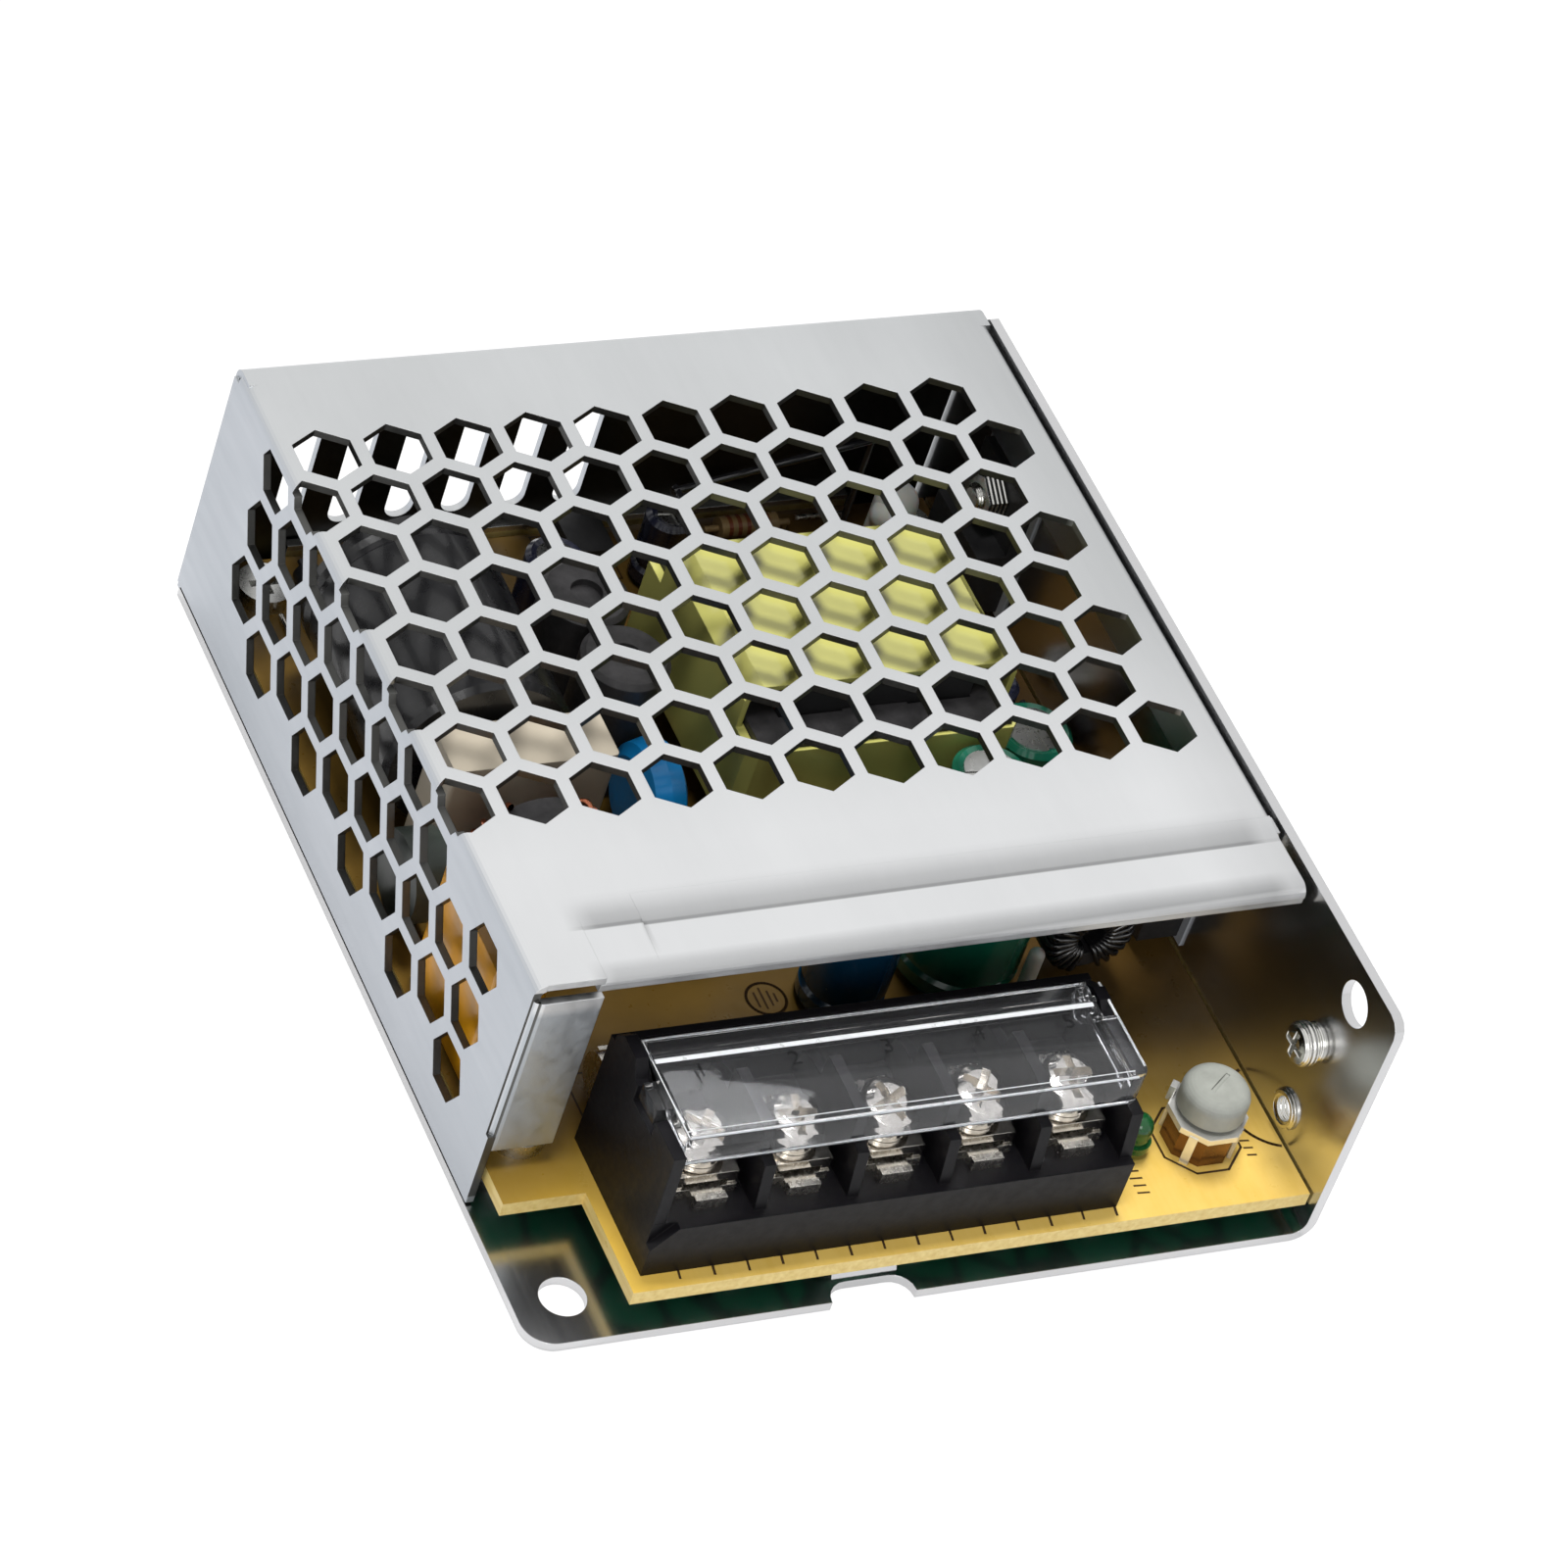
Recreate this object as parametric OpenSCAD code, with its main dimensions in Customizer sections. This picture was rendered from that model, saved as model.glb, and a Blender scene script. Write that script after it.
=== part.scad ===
// Mesh case switching power supply, enclosed type with a five way screw terminal block.
// Millimetres. Origin at the centre of the footprint on the resting face.
// +X is the side of the plain chassis wall, +Y the vented back, +Z up.

/* [Case] */
// length along Y
case_l = 99; // [97:1:110]
// width along X
case_w = 82; // [81:1:92]
// height along Z
case_h = 30; // [28:1:36]
// chassis sheet thickness
base_t = 1.0; // [0.8:0.1:1.5]
// outside radius of the chassis fold
fold_r = 2.4; // [1.5:0.1:3]
// cover sheet thickness
cover_t = 0.8; // [0.6:0.1:1]
// outside radius of the cover folds
cover_r = 1.2; // [1.1:0.1:1.7]
// gap between the cover and the chassis
cover_gap = 0.3; // [0.2:0.1:0.6]
// depth of the cover's down turned edge beside the plain wall
edge_drop = 7.5; // [6:0.5:8]

/* [Mesh] */
// hexagon across flats
hex_af = 6.0; // [4:0.1:6.4]
// hole to hole along the row
hex_pitch = 7.36; // [7:0.02:7.6]
// row to row
hex_row = 6.53; // [6.3:0.01:6.8]
// first hole from the plain wall
mesh_side = 11.1; // [10:0.1:12]
// first row from the back
mesh_back = 13.1; // [12:0.1:14]

/* [Front of the cover] */
// how far the cover's front edge stands back from the chassis front
front_back = 18.3; // [18:0.1:21]
// depth of the shallow step along the front band
band_step = 0.45; // [0.2:0.05:0.5]
// length of the front band
band_l = 6.7; // [5:0.1:10]
// width of the slope behind it
band_slope = 1.6; // [1:0.1:3]
// height of the turned lip under the front edge
lip_drop = 2.5; // [2.3:0.1:3.5]
// width of the short flange at the front of the mesh side
flange_w = 7; // [5:0.5:10]

/* [Back vents] */
// width of a vent slot
vent_w = 3.0; // [2:0.1:4]
// slot to slot
vent_pitch = 6.1; // [5:0.1:8]
// bottom of the slots
vent_z = 8; // [6:0.5:9]
// length of the slots
vent_h = 16; // [10:0.5:18]

/* [Mounting] */
// radius of the floor mounting hole
floor_hole_r = 2.3; // [1.6:0.1:2.6]
// radius of the wall mounting hole
side_hole_r = 2.3; // [1.6:0.1:2.6]
// height of the wall mounting hole
side_hole_z = 25.9; // [24:0.1:26.5]
// middle of the floor mounting hole from the front and side edges
floor_hole_in = 5.2; // [4.5:0.1:6]
// height of the row of wall screws
wall_screw_z = 18.3; // [16:0.1:20]
// radius of an M3 screw
m3_r = 1.5; // [1.4:0.05:1.5]
// play of a screw in the hole it passes
screw_play = 0.1; // [0.05:0.05:0.3]
// radius of the M2.5 screw in the front bay
bay_screw_r = 1.25; // [1.2:0.05:1.3]
// height of the round boss under it
boss_h = 0.9; // [0.7:0.1:1.6]

/* [Circuit board] */
// height of the gap under the board
board_gap = 2.7; // [2.2:0.1:3.4]
// board thickness
board_t = 1.6; // [1.2:0.1:2]
// gap between the board and the walls
board_play = 0.2; // [0.2:0.1:0.6]

/* [Terminal block] */
// terminal to terminal
term_pitch = 9.5; // [8.6:0.1:9.8]
// first terminal from the mesh side
term_in = 17; // [16:0.1:18]
// height of the cell floor above the board
cell_h = 6.1; // [5.6:0.1:6.8]
// depth of the block along Y
term_d = 16; // [15.5:0.1:16.2]
// thickness of the walls between cells
wall_t = 1.2; // [1:0.1:1.5]
// terminal plate thickness
plate_t = 1.0; // [0.8:0.1:1.2]
// side of the square clamp washer
clamp_w = 6.4; // [5.5:0.1:6.6]
// radius of the terminal screw
term_screw_r = 1.75; // [1.5:0.05:2]
// radial play of the terminal screw in its plate and washer
term_play = 0.05; // [0.03:0.01:0.1]
// rest gap under a clamp washer and under a screw head
seat_gap = 0.05; // [0.02:0.01:0.1]

/* [Terminal lid] */
// lid plate thickness
lid_t = 1.0; // [0.8:0.1:1.2]
// radius of the lid's hinge pins
pin_r = 1.0; // [0.8:0.1:1.2]
// radial play of the pins in the end walls
pin_play = 0.08; // [0.05:0.01:0.1]
// gap between the lid and the end walls
lid_gap = 0.45; // [0.3:0.05:0.6]

/* [Trimmer] */
// radius of the knob
knob_r = 3.4; // [2.8:0.1:3.6]
// height of the knob
knob_h = 3.8; // [3:0.1:4.5]
// height of the trimmer's body
trim_h = 3.4; // [2.6:0.1:4]
// radius of the knob's shaft
shaft_r = 1.2; // [0.8:0.1:1.5]
// radial play of the shaft in the base
shaft_play = 0.05; // [0.03:0.01:0.1]

/* [Parts on the board] */
// film capacitor beside the mesh wall: width
xcap_w = 6; // [5:0.5:6]
// its length
xcap_l = 14; // [10:0.5:15]
// its height
xcap_h = 15; // [10:0.5:18]
// pale film capacitor: width
linecap_w = 17; // [13:0.5:18]
// its depth
linecap_d = 6; // [5:0.5:6.5]
// its height
linecap_h = 15.5; // [10:0.5:18]
// bulk capacitor radius
bulk_r = 9.7; // [8:0.1:10]
// its length
bulk_l = 23.6; // [18:0.1:25]
// large output capacitor radius
outcap_r = 6.3; // [5:0.1:6.5]
// its height
outcap_h = 20; // [15:0.5:21]
// small output capacitor radius
smallcap_r = 4; // [3:0.1:4.4]
// its height
smallcap_h = 14.6; // [10:0.1:18]
// radius of the blue capacitor behind the terminals
filtercap_r = 4.3; // [3.4:0.1:4.6]
// disc capacitor radius
disc_r = 5.5; // [4:0.1:6]
// its thickness
disc_t = 4.6; // [3:0.1:5]
// transformer width
trafo_w = 29.4; // [27:0.1:30.4]
// its length
trafo_l = 26.6; // [24:0.1:28]
// its top above the board
trafo_h = 20.7; // [20.5:0.1:22]
// choke ring outer radius
choke_ro = 6.6; // [5.5:0.1:7]
// its inner radius
choke_ri = 4; // [3:0.1:4.4]
// its thickness
choke_t = 6; // [4:0.1:6.4]
// output inductor ring outer radius
coil_ro = 4; // [3.6:0.1:4.3]
// its inner radius
coil_ri = 2.3; // [2:0.1:2.6]
// its thickness
coil_t = 3.5; // [3:0.1:4.2]

/* [Hidden] */
$fn = 48;

hl = case_l / 2;
hw = case_w / 2;
wall_in = hw - base_t;
cover_x1 = wall_in - cover_gap;
cover_y0 = -hl + front_back;
cover_z0 = case_h - cover_t;
board_z0 = base_t + board_gap;
board_z = board_z0 + board_t;
board_x0 = -hw + cover_t + 0.5;
board_x1 = wall_in - board_play;
part_x1 = board_x1 - 0.2;
board_y0 = -hl + 1.2;
board_y1 = hl - 2.4;
hex_r = hex_af / sqrt(3);
// terminal block
term_w = 5 * term_pitch + 2;
term_x = -hw + term_in;
tb_x0 = term_x - term_pitch / 2 - 1.25;
tb_x1 = tb_x0 + term_w;
tb_y0 = -hl + 3;
tb_y1 = tb_y0 + term_d;
cell_z = board_z + cell_h;
plate_z = cell_z + plate_t;
screw_y = tb_y0 + 6.9;
washer_z0 = plate_z + seat_gap;
washer_z1 = washer_z0 + 1.55;
head_z0 = washer_z1 + seat_gap;
head_z1 = head_z0 + 2.95;
lid_x0 = tb_x0 + 1.25 + lid_gap;
lid_x1 = tb_x1 - 1.25 - lid_gap;
lid_z1 = cell_z + 9.5;
lid_z0 = lid_z1 - lid_t;
hinge_y = tb_y1 - 3;
hinge_z = lid_z0 - 1.3;
lid_y0 = tb_y0 + 2.6;
lid_y1 = hinge_y + 1.7;
// trimmer and lamp
trim_x = tb_x1 + 11.7;
trim_y = -hl + 9.6;
led_x = tb_x1 + 4.5;
led_y = -hl + 9.6;
bay_screw_z = wall_screw_z - 0.6;
trim_z = board_z + trim_h;
knob_z0 = trim_z + 1.1;
knob_z1 = knob_z0 + knob_h;
// mounting holes, screws and mesh
floor_hole = [-hw + floor_hole_in, -hl + floor_hole_in];
side_hole_y = -hl + 6.8;
bush_y = -hl + 9.3;
bush_z = 8.4;
edge_screw_z = case_h - edge_drop + 2.3;
device_top = case_h - edge_drop - 0.8;
tab_play = 0.35;
mesh_x = hw - mesh_side;
mesh_y = hl - mesh_back;
// places of the parts on the board
tr_x = part_x1 - 13.85 - trafo_w / 2;
tr_y0 = hl - 48.3;
tr_y1 = tr_y0 + trafo_l;
line_x = board_x0 + 6;
line_y = tr_y0 + 1.2;
bulk_x = board_x0 + 2.8 + bulk_r;
bulk_y = line_y + linecap_d + 1;
choke_x = board_x0 + 14.2;
choke_y = line_y - choke_t / 2 - 3.3;
choke_z = board_z + choke_ro + 1.6;
xcap_x = board_x0 + 1.1;
xcap_y = cover_y0 + 9.2;
fuse_x = board_x0 + 12.3;
fuse_y = cover_y0 + 5.2;
fuse_z = board_z + 3.6;
// the two inductors stand between the bulk capacitor and the transformer
ind_room = tr_x - trafo_w / 2 - bulk_x - bulk_r;
ind_x = bulk_x + bulk_r + ind_room / 2;
ind_r = 0.325 * ind_room;
ind_y = tr_y0 + 14.4;
small_y = tr_y0 - 0.9 - smallcap_r;
out_x = tr_x + 4.85;
out_y = small_y - outcap_r - smallcap_r - 0.5;
coil_x = out_x + outcap_r + coil_ro + 1.5;
coil_y = out_y - 2.3;
filter_x = out_x - 13.5;
filter_y = out_y - 2.7;
coil_z = board_z + coil_ro + 1.8;

function arc(cx, cy, r, a0, a1, n = 6) =
  [for (i = [0:n]) [cx + r * cos(a0 + (a1 - a0) * i / n), cy + r * sin(a0 + (a1 - a0) * i / n)]];
function cat(lists) = [for (l = lists) for (p = l) p];

module box(x0, x1, y0, y1, z0, z1) {
  translate([x0, y0, z0]) cube([x1 - x0, y1 - y0, z1 - z0]);
}
module post(x, y, z0, z1, r) {
  translate([x, y, z0]) cylinder(h = z1 - z0, r = r);
}
module rod_x(x0, x1, y, z, r) {
  translate([x0, y, z]) rotate([0, 90, 0]) cylinder(h = x1 - x0, r = r);
}
module rod_y(x, y0, y1, z, r) {
  translate([x, y0, z]) rotate([-90, 0, 0]) cylinder(h = y1 - y0, r = r);
}
// a profile drawn in X and Z, run along Y
module run_y(y0, y1) {
  translate([0, y1, 0]) rotate([90, 0, 0]) linear_extrude(y1 - y0) children();
}
// a profile drawn in Y and Z, run along X
module run_x(x0, x1) {
  translate([x0, 0, 0]) rotate([90, 0, 90]) linear_extrude(x1 - x0) children();
}
module turned(x, y) {
  translate([x, y, 0]) rotate_extrude() children();
}
// a countersunk M3 screw along X, its head flush with the outside of the wall
module wall_screw(y, z, tip_x) {
  translate([hw, y, z]) rotate([0, -90, 0]) difference() {
    rotate_extrude() polygon([[0, 0], [2.8, 0], [2.8, 0.2], [m3_r, 1.4], [m3_r, hw - tip_x - 0.4],
      [m3_r - 0.4, hw - tip_x], [0, hw - tip_x]]);
    translate([-0.4, -1.6, -0.01]) cube([0.8, 3.2, 0.7]);
    translate([-1.6, -0.4, -0.01]) cube([3.2, 0.8, 0.7]);
  }
}
module wall_screw_hole(y, z) {
  translate([hw + 0.01, y, z]) rotate([0, -90, 0]) rotate_extrude()
    polygon([[0, -1], [2.9, -1], [2.9, 0.25], [m3_r + screw_play, 1.45], [m3_r + screw_play, 4], [0, 4]]);
}

module chassis() {
  color([0.78, 0.79, 0.80]) difference() {
    union() {
      run_y(-hl, hl - cover_t - 0.2) polygon(cat([[[-hw, 0]], arc(hw - fold_r, fold_r, fold_r, -90, 0, 9),
        [[hw, case_h], [wall_in, case_h]], arc(hw - fold_r, fold_r, fold_r - base_t, 0, -90, 9),
        [[-hw, base_t]]]));
      // plain wall runs on behind the cover's back
      box(wall_in, hw, hl - cover_t - 0.4, hl, 1.4, case_h);
      // upstand inside the back of the cover
      box(-hw + 10, hw - 10, hl - cover_t - 0.2 - base_t, hl - cover_t - 0.2, 0, 6.4);
      // pressed standoffs under the board
      for (p = standoffs()) post(p[0], p[1], base_t - 0.2, board_z0, 3);
      // support tab bent up behind the front notch
      run_x(-9.4, -2.6) polygon([[-hl + 2.1, 0], [-hl + 3.3, 0], [-hl + 5.4, board_z0],
        [-hl + 4.2, board_z0]]);
    }
    // front notch
    translate([-6, -hl, -1]) linear_extrude(base_t + 1.01) polygon(cat([[[-4.4, -1]],
      arc(-2.3, 0.1, 2.1, 180, 90, 5), arc(2.3, 0.1, 2.1, 90, 0, 5), [[4.4, -1]]]));
    // corners of the sheet
    difference() {
      box(-hw - 1, -hw + 3, -hl - 1, -hl + 3, -1, base_t + 1);
      post(-hw + 3, -hl + 3, -2, base_t + 2, 3);
    }
    run_x(hw - 2, hw + 1) polygon([[-hl - 1, case_h + 1], [-hl + 1.8, case_h + 1], [-hl + 1.8, case_h],
      [-hl + 0.9, case_h - 0.25], [-hl + 0.25, case_h - 0.9], [-hl, case_h - 1.8], [-hl - 1, case_h - 1.8]]);
    run_x(hw - 2, hw + 1) polygon([[hl + 1, case_h + 1], [hl - 2.2, case_h + 1], [hl - 2.2, case_h],
      [hl, case_h - 2.2], [hl + 1, case_h - 2.2]]);
    // mounting holes
    post(floor_hole[0], floor_hole[1], -1, base_t + 1, floor_hole_r);
    rod_x(hw - 2, hw + 1, side_hole_y, side_hole_z, side_hole_r);
    // hole of the threaded bush low in the plain wall, and of the screw above it
    rod_x(hw - 2, hw + 1, bush_y, bush_z, m3_r + screw_play);
    rod_x(hw - 2, hw + 1, wall_screw_y()[0], bay_screw_z, bay_screw_r + screw_play);
    for (p = standoffs()) post(p[0], p[1], -1, board_z0 + 1, m3_r + screw_play);
    for (i = [1, 2]) wall_screw_hole(wall_screw_y()[i], wall_screw_z);
    for (y = cover_screw_y()) wall_screw_hole(y, edge_screw_z);
  }
}
function standoffs() = [[board_x0 + 4.3, board_y1 - 4.7], [part_x1 - 4.4, board_y1 - 4.7],
  [part_x1 - 4.4, board_y1 - 26.6], [board_x0 + 4.1, cover_y0 + 2.6]];
function wall_screw_y() = [-hl + 9.5, tr_y0 - 12.2, hl - 15.5];
function cover_screw_y() = [cover_y0 + 11.2, tr_y0 + 11.8];

// mesh lattice drawn flat: rows k, holes j
function row_x(k, j) = mesh_x + (k % 2) * hex_pitch / 2 - j * hex_pitch;
function last_j(k) = floor((row_x(k, 0) + hw) / hex_pitch);
function row_y(k) = mesh_y - k * hex_row;
module hexagon() {
  rotate(30) circle(r = hex_r, $fn = 6);
}
// the front band in Y and Z: slope, flat, rounded edge and the lip with its lower fold; rise is the height
// left over behind the flat
module band_profile(rise) {
  fy = cover_y0;
  zt = case_h;
  t = cover_t;
  r = cover_r;
  step = band_step;
  y2 = fy + band_l - 0.1;
  y3 = fy + band_l + 0.9 + band_slope;
  polygon(cat([[[y3, zt], [y3 - band_slope * 0.3, zt - rise * 0.12], [y2 + band_slope * 0.25, zt - rise * 0.8],
    [y2, zt - rise]], arc(fy + r, zt - step - r, r, 90, 180),
    [[fy, zt - r - 0.55], [fy + 0.12, zt - r - 0.67], [fy + 0.12, zt - lip_drop], [fy + t, zt - lip_drop]],
    arc(fy + r, zt - step - r, r - t, 180, 90, 3), [[y2, zt - rise - t], [y3, zt - t]]]));
}
module cover() {
  y1 = hl;
  zt = case_h;
  t = cover_t;
  r = cover_r;
  fy = cover_y0;
  band_x0 = -hw + 13;
  color([0.84, 0.85, 0.86]) difference() {
    union() {
      // top, mesh side and down turned edge
      run_y(fy + band_l + 0.8 + band_slope, y1 - 1.3) polygon(cat([[[-hw, base_t + cover_gap]],
        arc(-hw + r, zt - r, r, 180, 90), arc(cover_x1 - r, zt - r, r, 90, 0),
        [[cover_x1, zt - edge_drop], [cover_x1 - t, zt - edge_drop]],
        arc(cover_x1 - r, zt - r, r - t, 0, 90, 3), arc(-hw + r, zt - r, r - t, 90, 180, 3),
        [[-hw + t, base_t + cover_gap]]]));
      // back wall turned down from the top
      run_x(-hw + 0.3, cover_x1) polygon(cat([[[y1 - 3, zt]], arc(y1 - r, zt - r, r, 90, 0),
        [[y1, 0.3], [y1 - t, 0.3]], arc(y1 - r, zt - r, r - t, 0, 90, 3), [[y1 - 3, zt - t]]]));
      box(-hw, -hw + t, y1 - 2, y1 - 0.3, base_t + cover_gap, zt - r);
      // front band, stepped down, with its turned lip; left of the step it only slopes to the lip
      run_x(band_x0, cover_x1 - 0.4) band_profile(band_step);
      run_x(-hw + flange_w, band_x0 + 0.01) band_profile(0);
      // left end of the front, over the slot
      box(-hw + r, -hw + flange_w + 0.01, fy - 0.5, fy + band_l + 0.9 + band_slope, zt - t, zt);
      run_y(fy - 0.6, fy + band_l + 0.9 + band_slope) polygon(cat([[[-hw, base_t + cover_gap]],
        arc(-hw + r, zt - r, r, 180, 90), arc(-hw + r, zt - r, r - t, 90, 180, 3),
        [[-hw + t, base_t + cover_gap]]]));
      box(cover_x1 - t, cover_x1, fy + band_l + 0.6, fy + band_l + 1 + band_slope, zt - edge_drop, zt - t / 2);
      // short flange turned in at the front of the mesh side
      translate([0, 0, 8.3]) linear_extrude(zt - 1.9 - 8.3) polygon(cat([[[-hw, fy + 1.5]],
        arc(-hw + r, fy - 1.1 + r, r, 180, 270), [[-hw + flange_w, fy - 1.1], [-hw + flange_w, fy - 1.1 + t]],
        arc(-hw + r, fy - 1.1 + r, r - t, 270, 180, 3), [[-hw + t, fy + 1.5]]]));
      translate([0, 0, base_t + cover_gap]) linear_extrude(9) polygon([[-hw, fy + 1], [-hw + t, fy + 1],
        [-hw + t, fy - 1.1], [-hw, fy - 1.1]]);
    }
    // hexagons of the top, the last of each second row running over the fold
    translate([0, 0, zt - 1]) linear_extrude(2) for (k = [0:7]) for (j = [0:last_j(k)])
      translate([row_x(k, j), row_y(k)]) hexagon();
    // hexagons of the mesh side
    run_x(-hw - 1, -hw + 1.6) {
      for (k = [0:9]) for (j = [last_j(k) + (k == 8 ? 2 : 1):last_j(k) + 3])
        translate([row_y(k), zt + row_x(k, j) + hw]) intersection() {
          rotate(30) hexagon();
          translate([-5, -5]) square([10, min(10, 5 - row_x(k, j) - hw - 1.15)]);
        }
      for (k = [0:7]) {
        over = hex_af / 2 - row_x(k, last_j(k)) - hw;
        wide = hex_r - (hex_af / 2 - over + 0.9) / sqrt(3);
        if (over > 1) translate([row_y(k), zt]) polygon([[-wide, -0.9], [wide, -0.9], [hex_r / 2, -over],
          [-hex_r / 2, -over]]);
      }
    }
    // back vents
    run_y(y1 - 1.6, y1 + 1) for (i = [0:5]) translate([-hw + 9.4 + i * vent_pitch, vent_z]) {
      translate([-vent_w / 2, vent_w / 2]) square([vent_w, vent_h - vent_w]);
      translate([0, vent_w / 2]) circle(vent_w / 2);
      translate([0, vent_h - vent_w / 2]) circle(vent_w / 2);
    }
    for (y = cover_screw_y()) rod_x(cover_x1 - 2, cover_x1 + 1, y, edge_screw_z, m3_r + screw_play);
  }
}

module cover_screws() {
  color([0.75, 0.75, 0.76]) for (y = cover_screw_y()) wall_screw(y, edge_screw_z, hw - 4.4);
}
module wall_screws() {
  color([0.75, 0.75, 0.76]) {
    for (i = [1, 2]) wall_screw(wall_screw_y()[i], wall_screw_z, hw - 5.4);
    // pan head screw in the front bay, driven from inside
    translate([wall_in, wall_screw_y()[0], bay_screw_z]) rotate([0, -90, 0]) difference() {
      rotate_extrude() polygon([[0, -0.8], [bay_screw_r, -0.8], [bay_screw_r, boss_h], [2.2, boss_h],
        [2.2, boss_h + 0.9], [1.9, boss_h + 1.35], [1.2, boss_h + 1.6], [0, boss_h + 1.6]]);
      translate([-0.35, -1.5, boss_h + 0.7]) cube([0.7, 3, 2]);
      translate([-1.5, -0.35, boss_h + 0.7]) cube([3, 0.7, 2]);
    }
  }
}
module wall_nuts() {
  color([0.7, 0.7, 0.7]) {
    // hexagon nuts that clamp the power devices
    for (i = [1, 2]) translate([wall_in, wall_screw_y()[i], wall_screw_z]) rotate([0, -90, 0]) difference() {
      translate([0, 0, 1.6]) cylinder(h = 2.2, r = 2.9, $fn = 6);
      cylinder(h = 6, r = m3_r + screw_play);
    }
    // round boss under the screw of the front bay
    translate([wall_in, wall_screw_y()[0], bay_screw_z]) rotate([0, -90, 0]) rotate_extrude()
      polygon([[bay_screw_r + screw_play, 0], [2, 0], [1.8, 0.4], [1.8, boss_h - 0.05],
      [bay_screw_r + screw_play, boss_h - 0.05]]);
    // threaded bush low in the wall
    translate([wall_in, bush_y, bush_z]) rotate([0, -90, 0]) rotate_extrude()
      polygon([[m3_r - 0.25, -0.9], [m3_r + 0.05, -0.9], [m3_r + 0.05, 0], [2.1, 0], [2.1, 0.3], [1.85, 0.55],
      [1.55, 0.55], [m3_r - 0.25, 0.3]]);
  }
}

module circuit_board() {
  color([0.86, 0.70, 0.34]) difference() {
    translate([0, 0, board_z0]) linear_extrude(board_t) polygon([[tb_x0 - 1.4, board_y0], [board_x1, board_y0],
      [board_x1, board_y1], [board_x0, board_y1], [board_x0, cover_y0 - 5], [tb_x0 - 1.4, cover_y0 - 5]]);
    for (p = standoffs()) post(p[0], p[1], 0, board_z + 1, m3_r + screw_play);
    for (i = [0:4]) box(term_i(i) - 1.4, term_i(i) + 1.4, tb_y1 - 4.9, tb_y1 - 3.7, 0, board_z + 1);
  }
}
function term_i(i) = term_x + i * term_pitch;

module board_screws() {
  color([0.78, 0.78, 0.78]) for (p = standoffs()) difference() {
    union() {
      post(p[0], p[1], base_t + 0.2, board_z + 0.5, m3_r);
      post(p[0], p[1], board_z, board_z + 1.7, 2.8);
    }
    translate([p[0] - 0.4, p[1] - 1.6, board_z + 0.9]) cube([0.8, 3.2, 2]);
    translate([p[0] - 1.6, p[1] - 0.4, board_z + 0.9]) cube([3.2, 0.8, 2]);
  }
}

module insulation_film() {
  color([0.93, 0.93, 0.90]) difference() {
    box(board_x0 + 0.1, tb_x1 + 10, tr_y0 - 11.2, board_y1 - 0.7, base_t, base_t + 0.25);
    for (p = standoffs()) post(p[0], p[1], 0, 4, 3.3);
  }
}

module terminal_housing() {
  color([0.13, 0.13, 0.14]) difference() {
    union() {
      box(tb_x0, tb_x1, tb_y0, tb_y1, board_z, cell_z);
      // back wall
      box(tb_x0, tb_x1, tb_y1 - 1.6, tb_y1 + 0.8, board_z, cell_z + 4.8);
      box(tb_x0, tb_x1, tb_y1 - 0.02, tb_y1 + 0.8, cell_z + 4.7, cell_z + 8.2);
      // end walls
      run_x(tb_x0, tb_x0 + 1.25) polygon([[tb_y0 + 0.9, cell_z - 0.5],
        [tb_y0 + 1.3, cell_z + 8.4], [tb_y1 - 5, cell_z + 8.4], [tb_y1 - 4, cell_z + 10.2],
        [tb_y1 - 1.2, cell_z + 10.2], [tb_y1, cell_z + 9], [tb_y1, cell_z - 0.5]]);
      run_x(tb_x1 - 1.25, tb_x1) polygon([[tb_y0 + 0.8, cell_z - 0.5], [tb_y0 + 1.7, cell_z + 5.2],
        [tb_y0 + 4.05, cell_z + 5.4], [tb_y0 + 4.05, lid_z0 - 0.35], [hinge_y - 2.2, lid_z0 - 0.35],
        [hinge_y - 1.5, hinge_z + 1.7], [hinge_y - 0.7, hinge_z + 2.3], [hinge_y + 0.9, hinge_z + 2.3],
        [tb_y1, hinge_z + 0.8], [tb_y1, cell_z - 0.5]]);
      // walls between the cells
      for (i = [0:3]) run_x(term_i(i) + (term_pitch - wall_t) / 2, term_i(i) + (term_pitch + wall_t) / 2)
        polygon([[tb_y0 + 0.8, cell_z - 0.5], [tb_y0 + 1.7, cell_z + 5.2], [tb_y0 + 3.95, cell_z + 5.4],
        [tb_y0 + 3.95, cell_z + 7.9], [hinge_y - 2.2, cell_z + 7.9], [hinge_y - 2.2, cell_z + 4.7],
        [tb_y1 - 1, cell_z + 4.7], [tb_y1 - 1, cell_z - 0.5]]);
    }
    // bevel at the end of the front ledge
    run_y(tb_y0 - 1, tb_y0 + 0.9) polygon([[tb_x0 - 1, cell_z + 1], [tb_x0 - 1, cell_z - 2.6],
      [tb_x0, cell_z - 2.6], [tb_x0 + 2.4, cell_z], [tb_x0 + 2.4, cell_z + 1]]);
    for (i = [0:4]) {
      // well under the screw, and slot for the plate's leg
      post(term_i(i), screw_y, cell_z - 5.2, cell_z + 1, term_screw_r + 0.6);
      box(term_i(i) - 1.4, term_i(i) + 1.4, tb_y1 - 4.9, tb_y1 - 3.7, board_z - 1, cell_z + 1);
    }
    // hinge holes
    rod_x(tb_x0 + 0.3, tb_x0 + 3, hinge_y, hinge_z, pin_r + pin_play);
    rod_x(tb_x1 - 3, tb_x1 - 0.3, hinge_y, hinge_z, pin_r + pin_play);
    // notch for the lid's catch
    box(tb_x0 - 1, tb_x0 + 1.3, tb_y0 + 5.9, tb_y0 + 10.3, cell_z + 6.6, cell_z + 9);
  }
}

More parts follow.
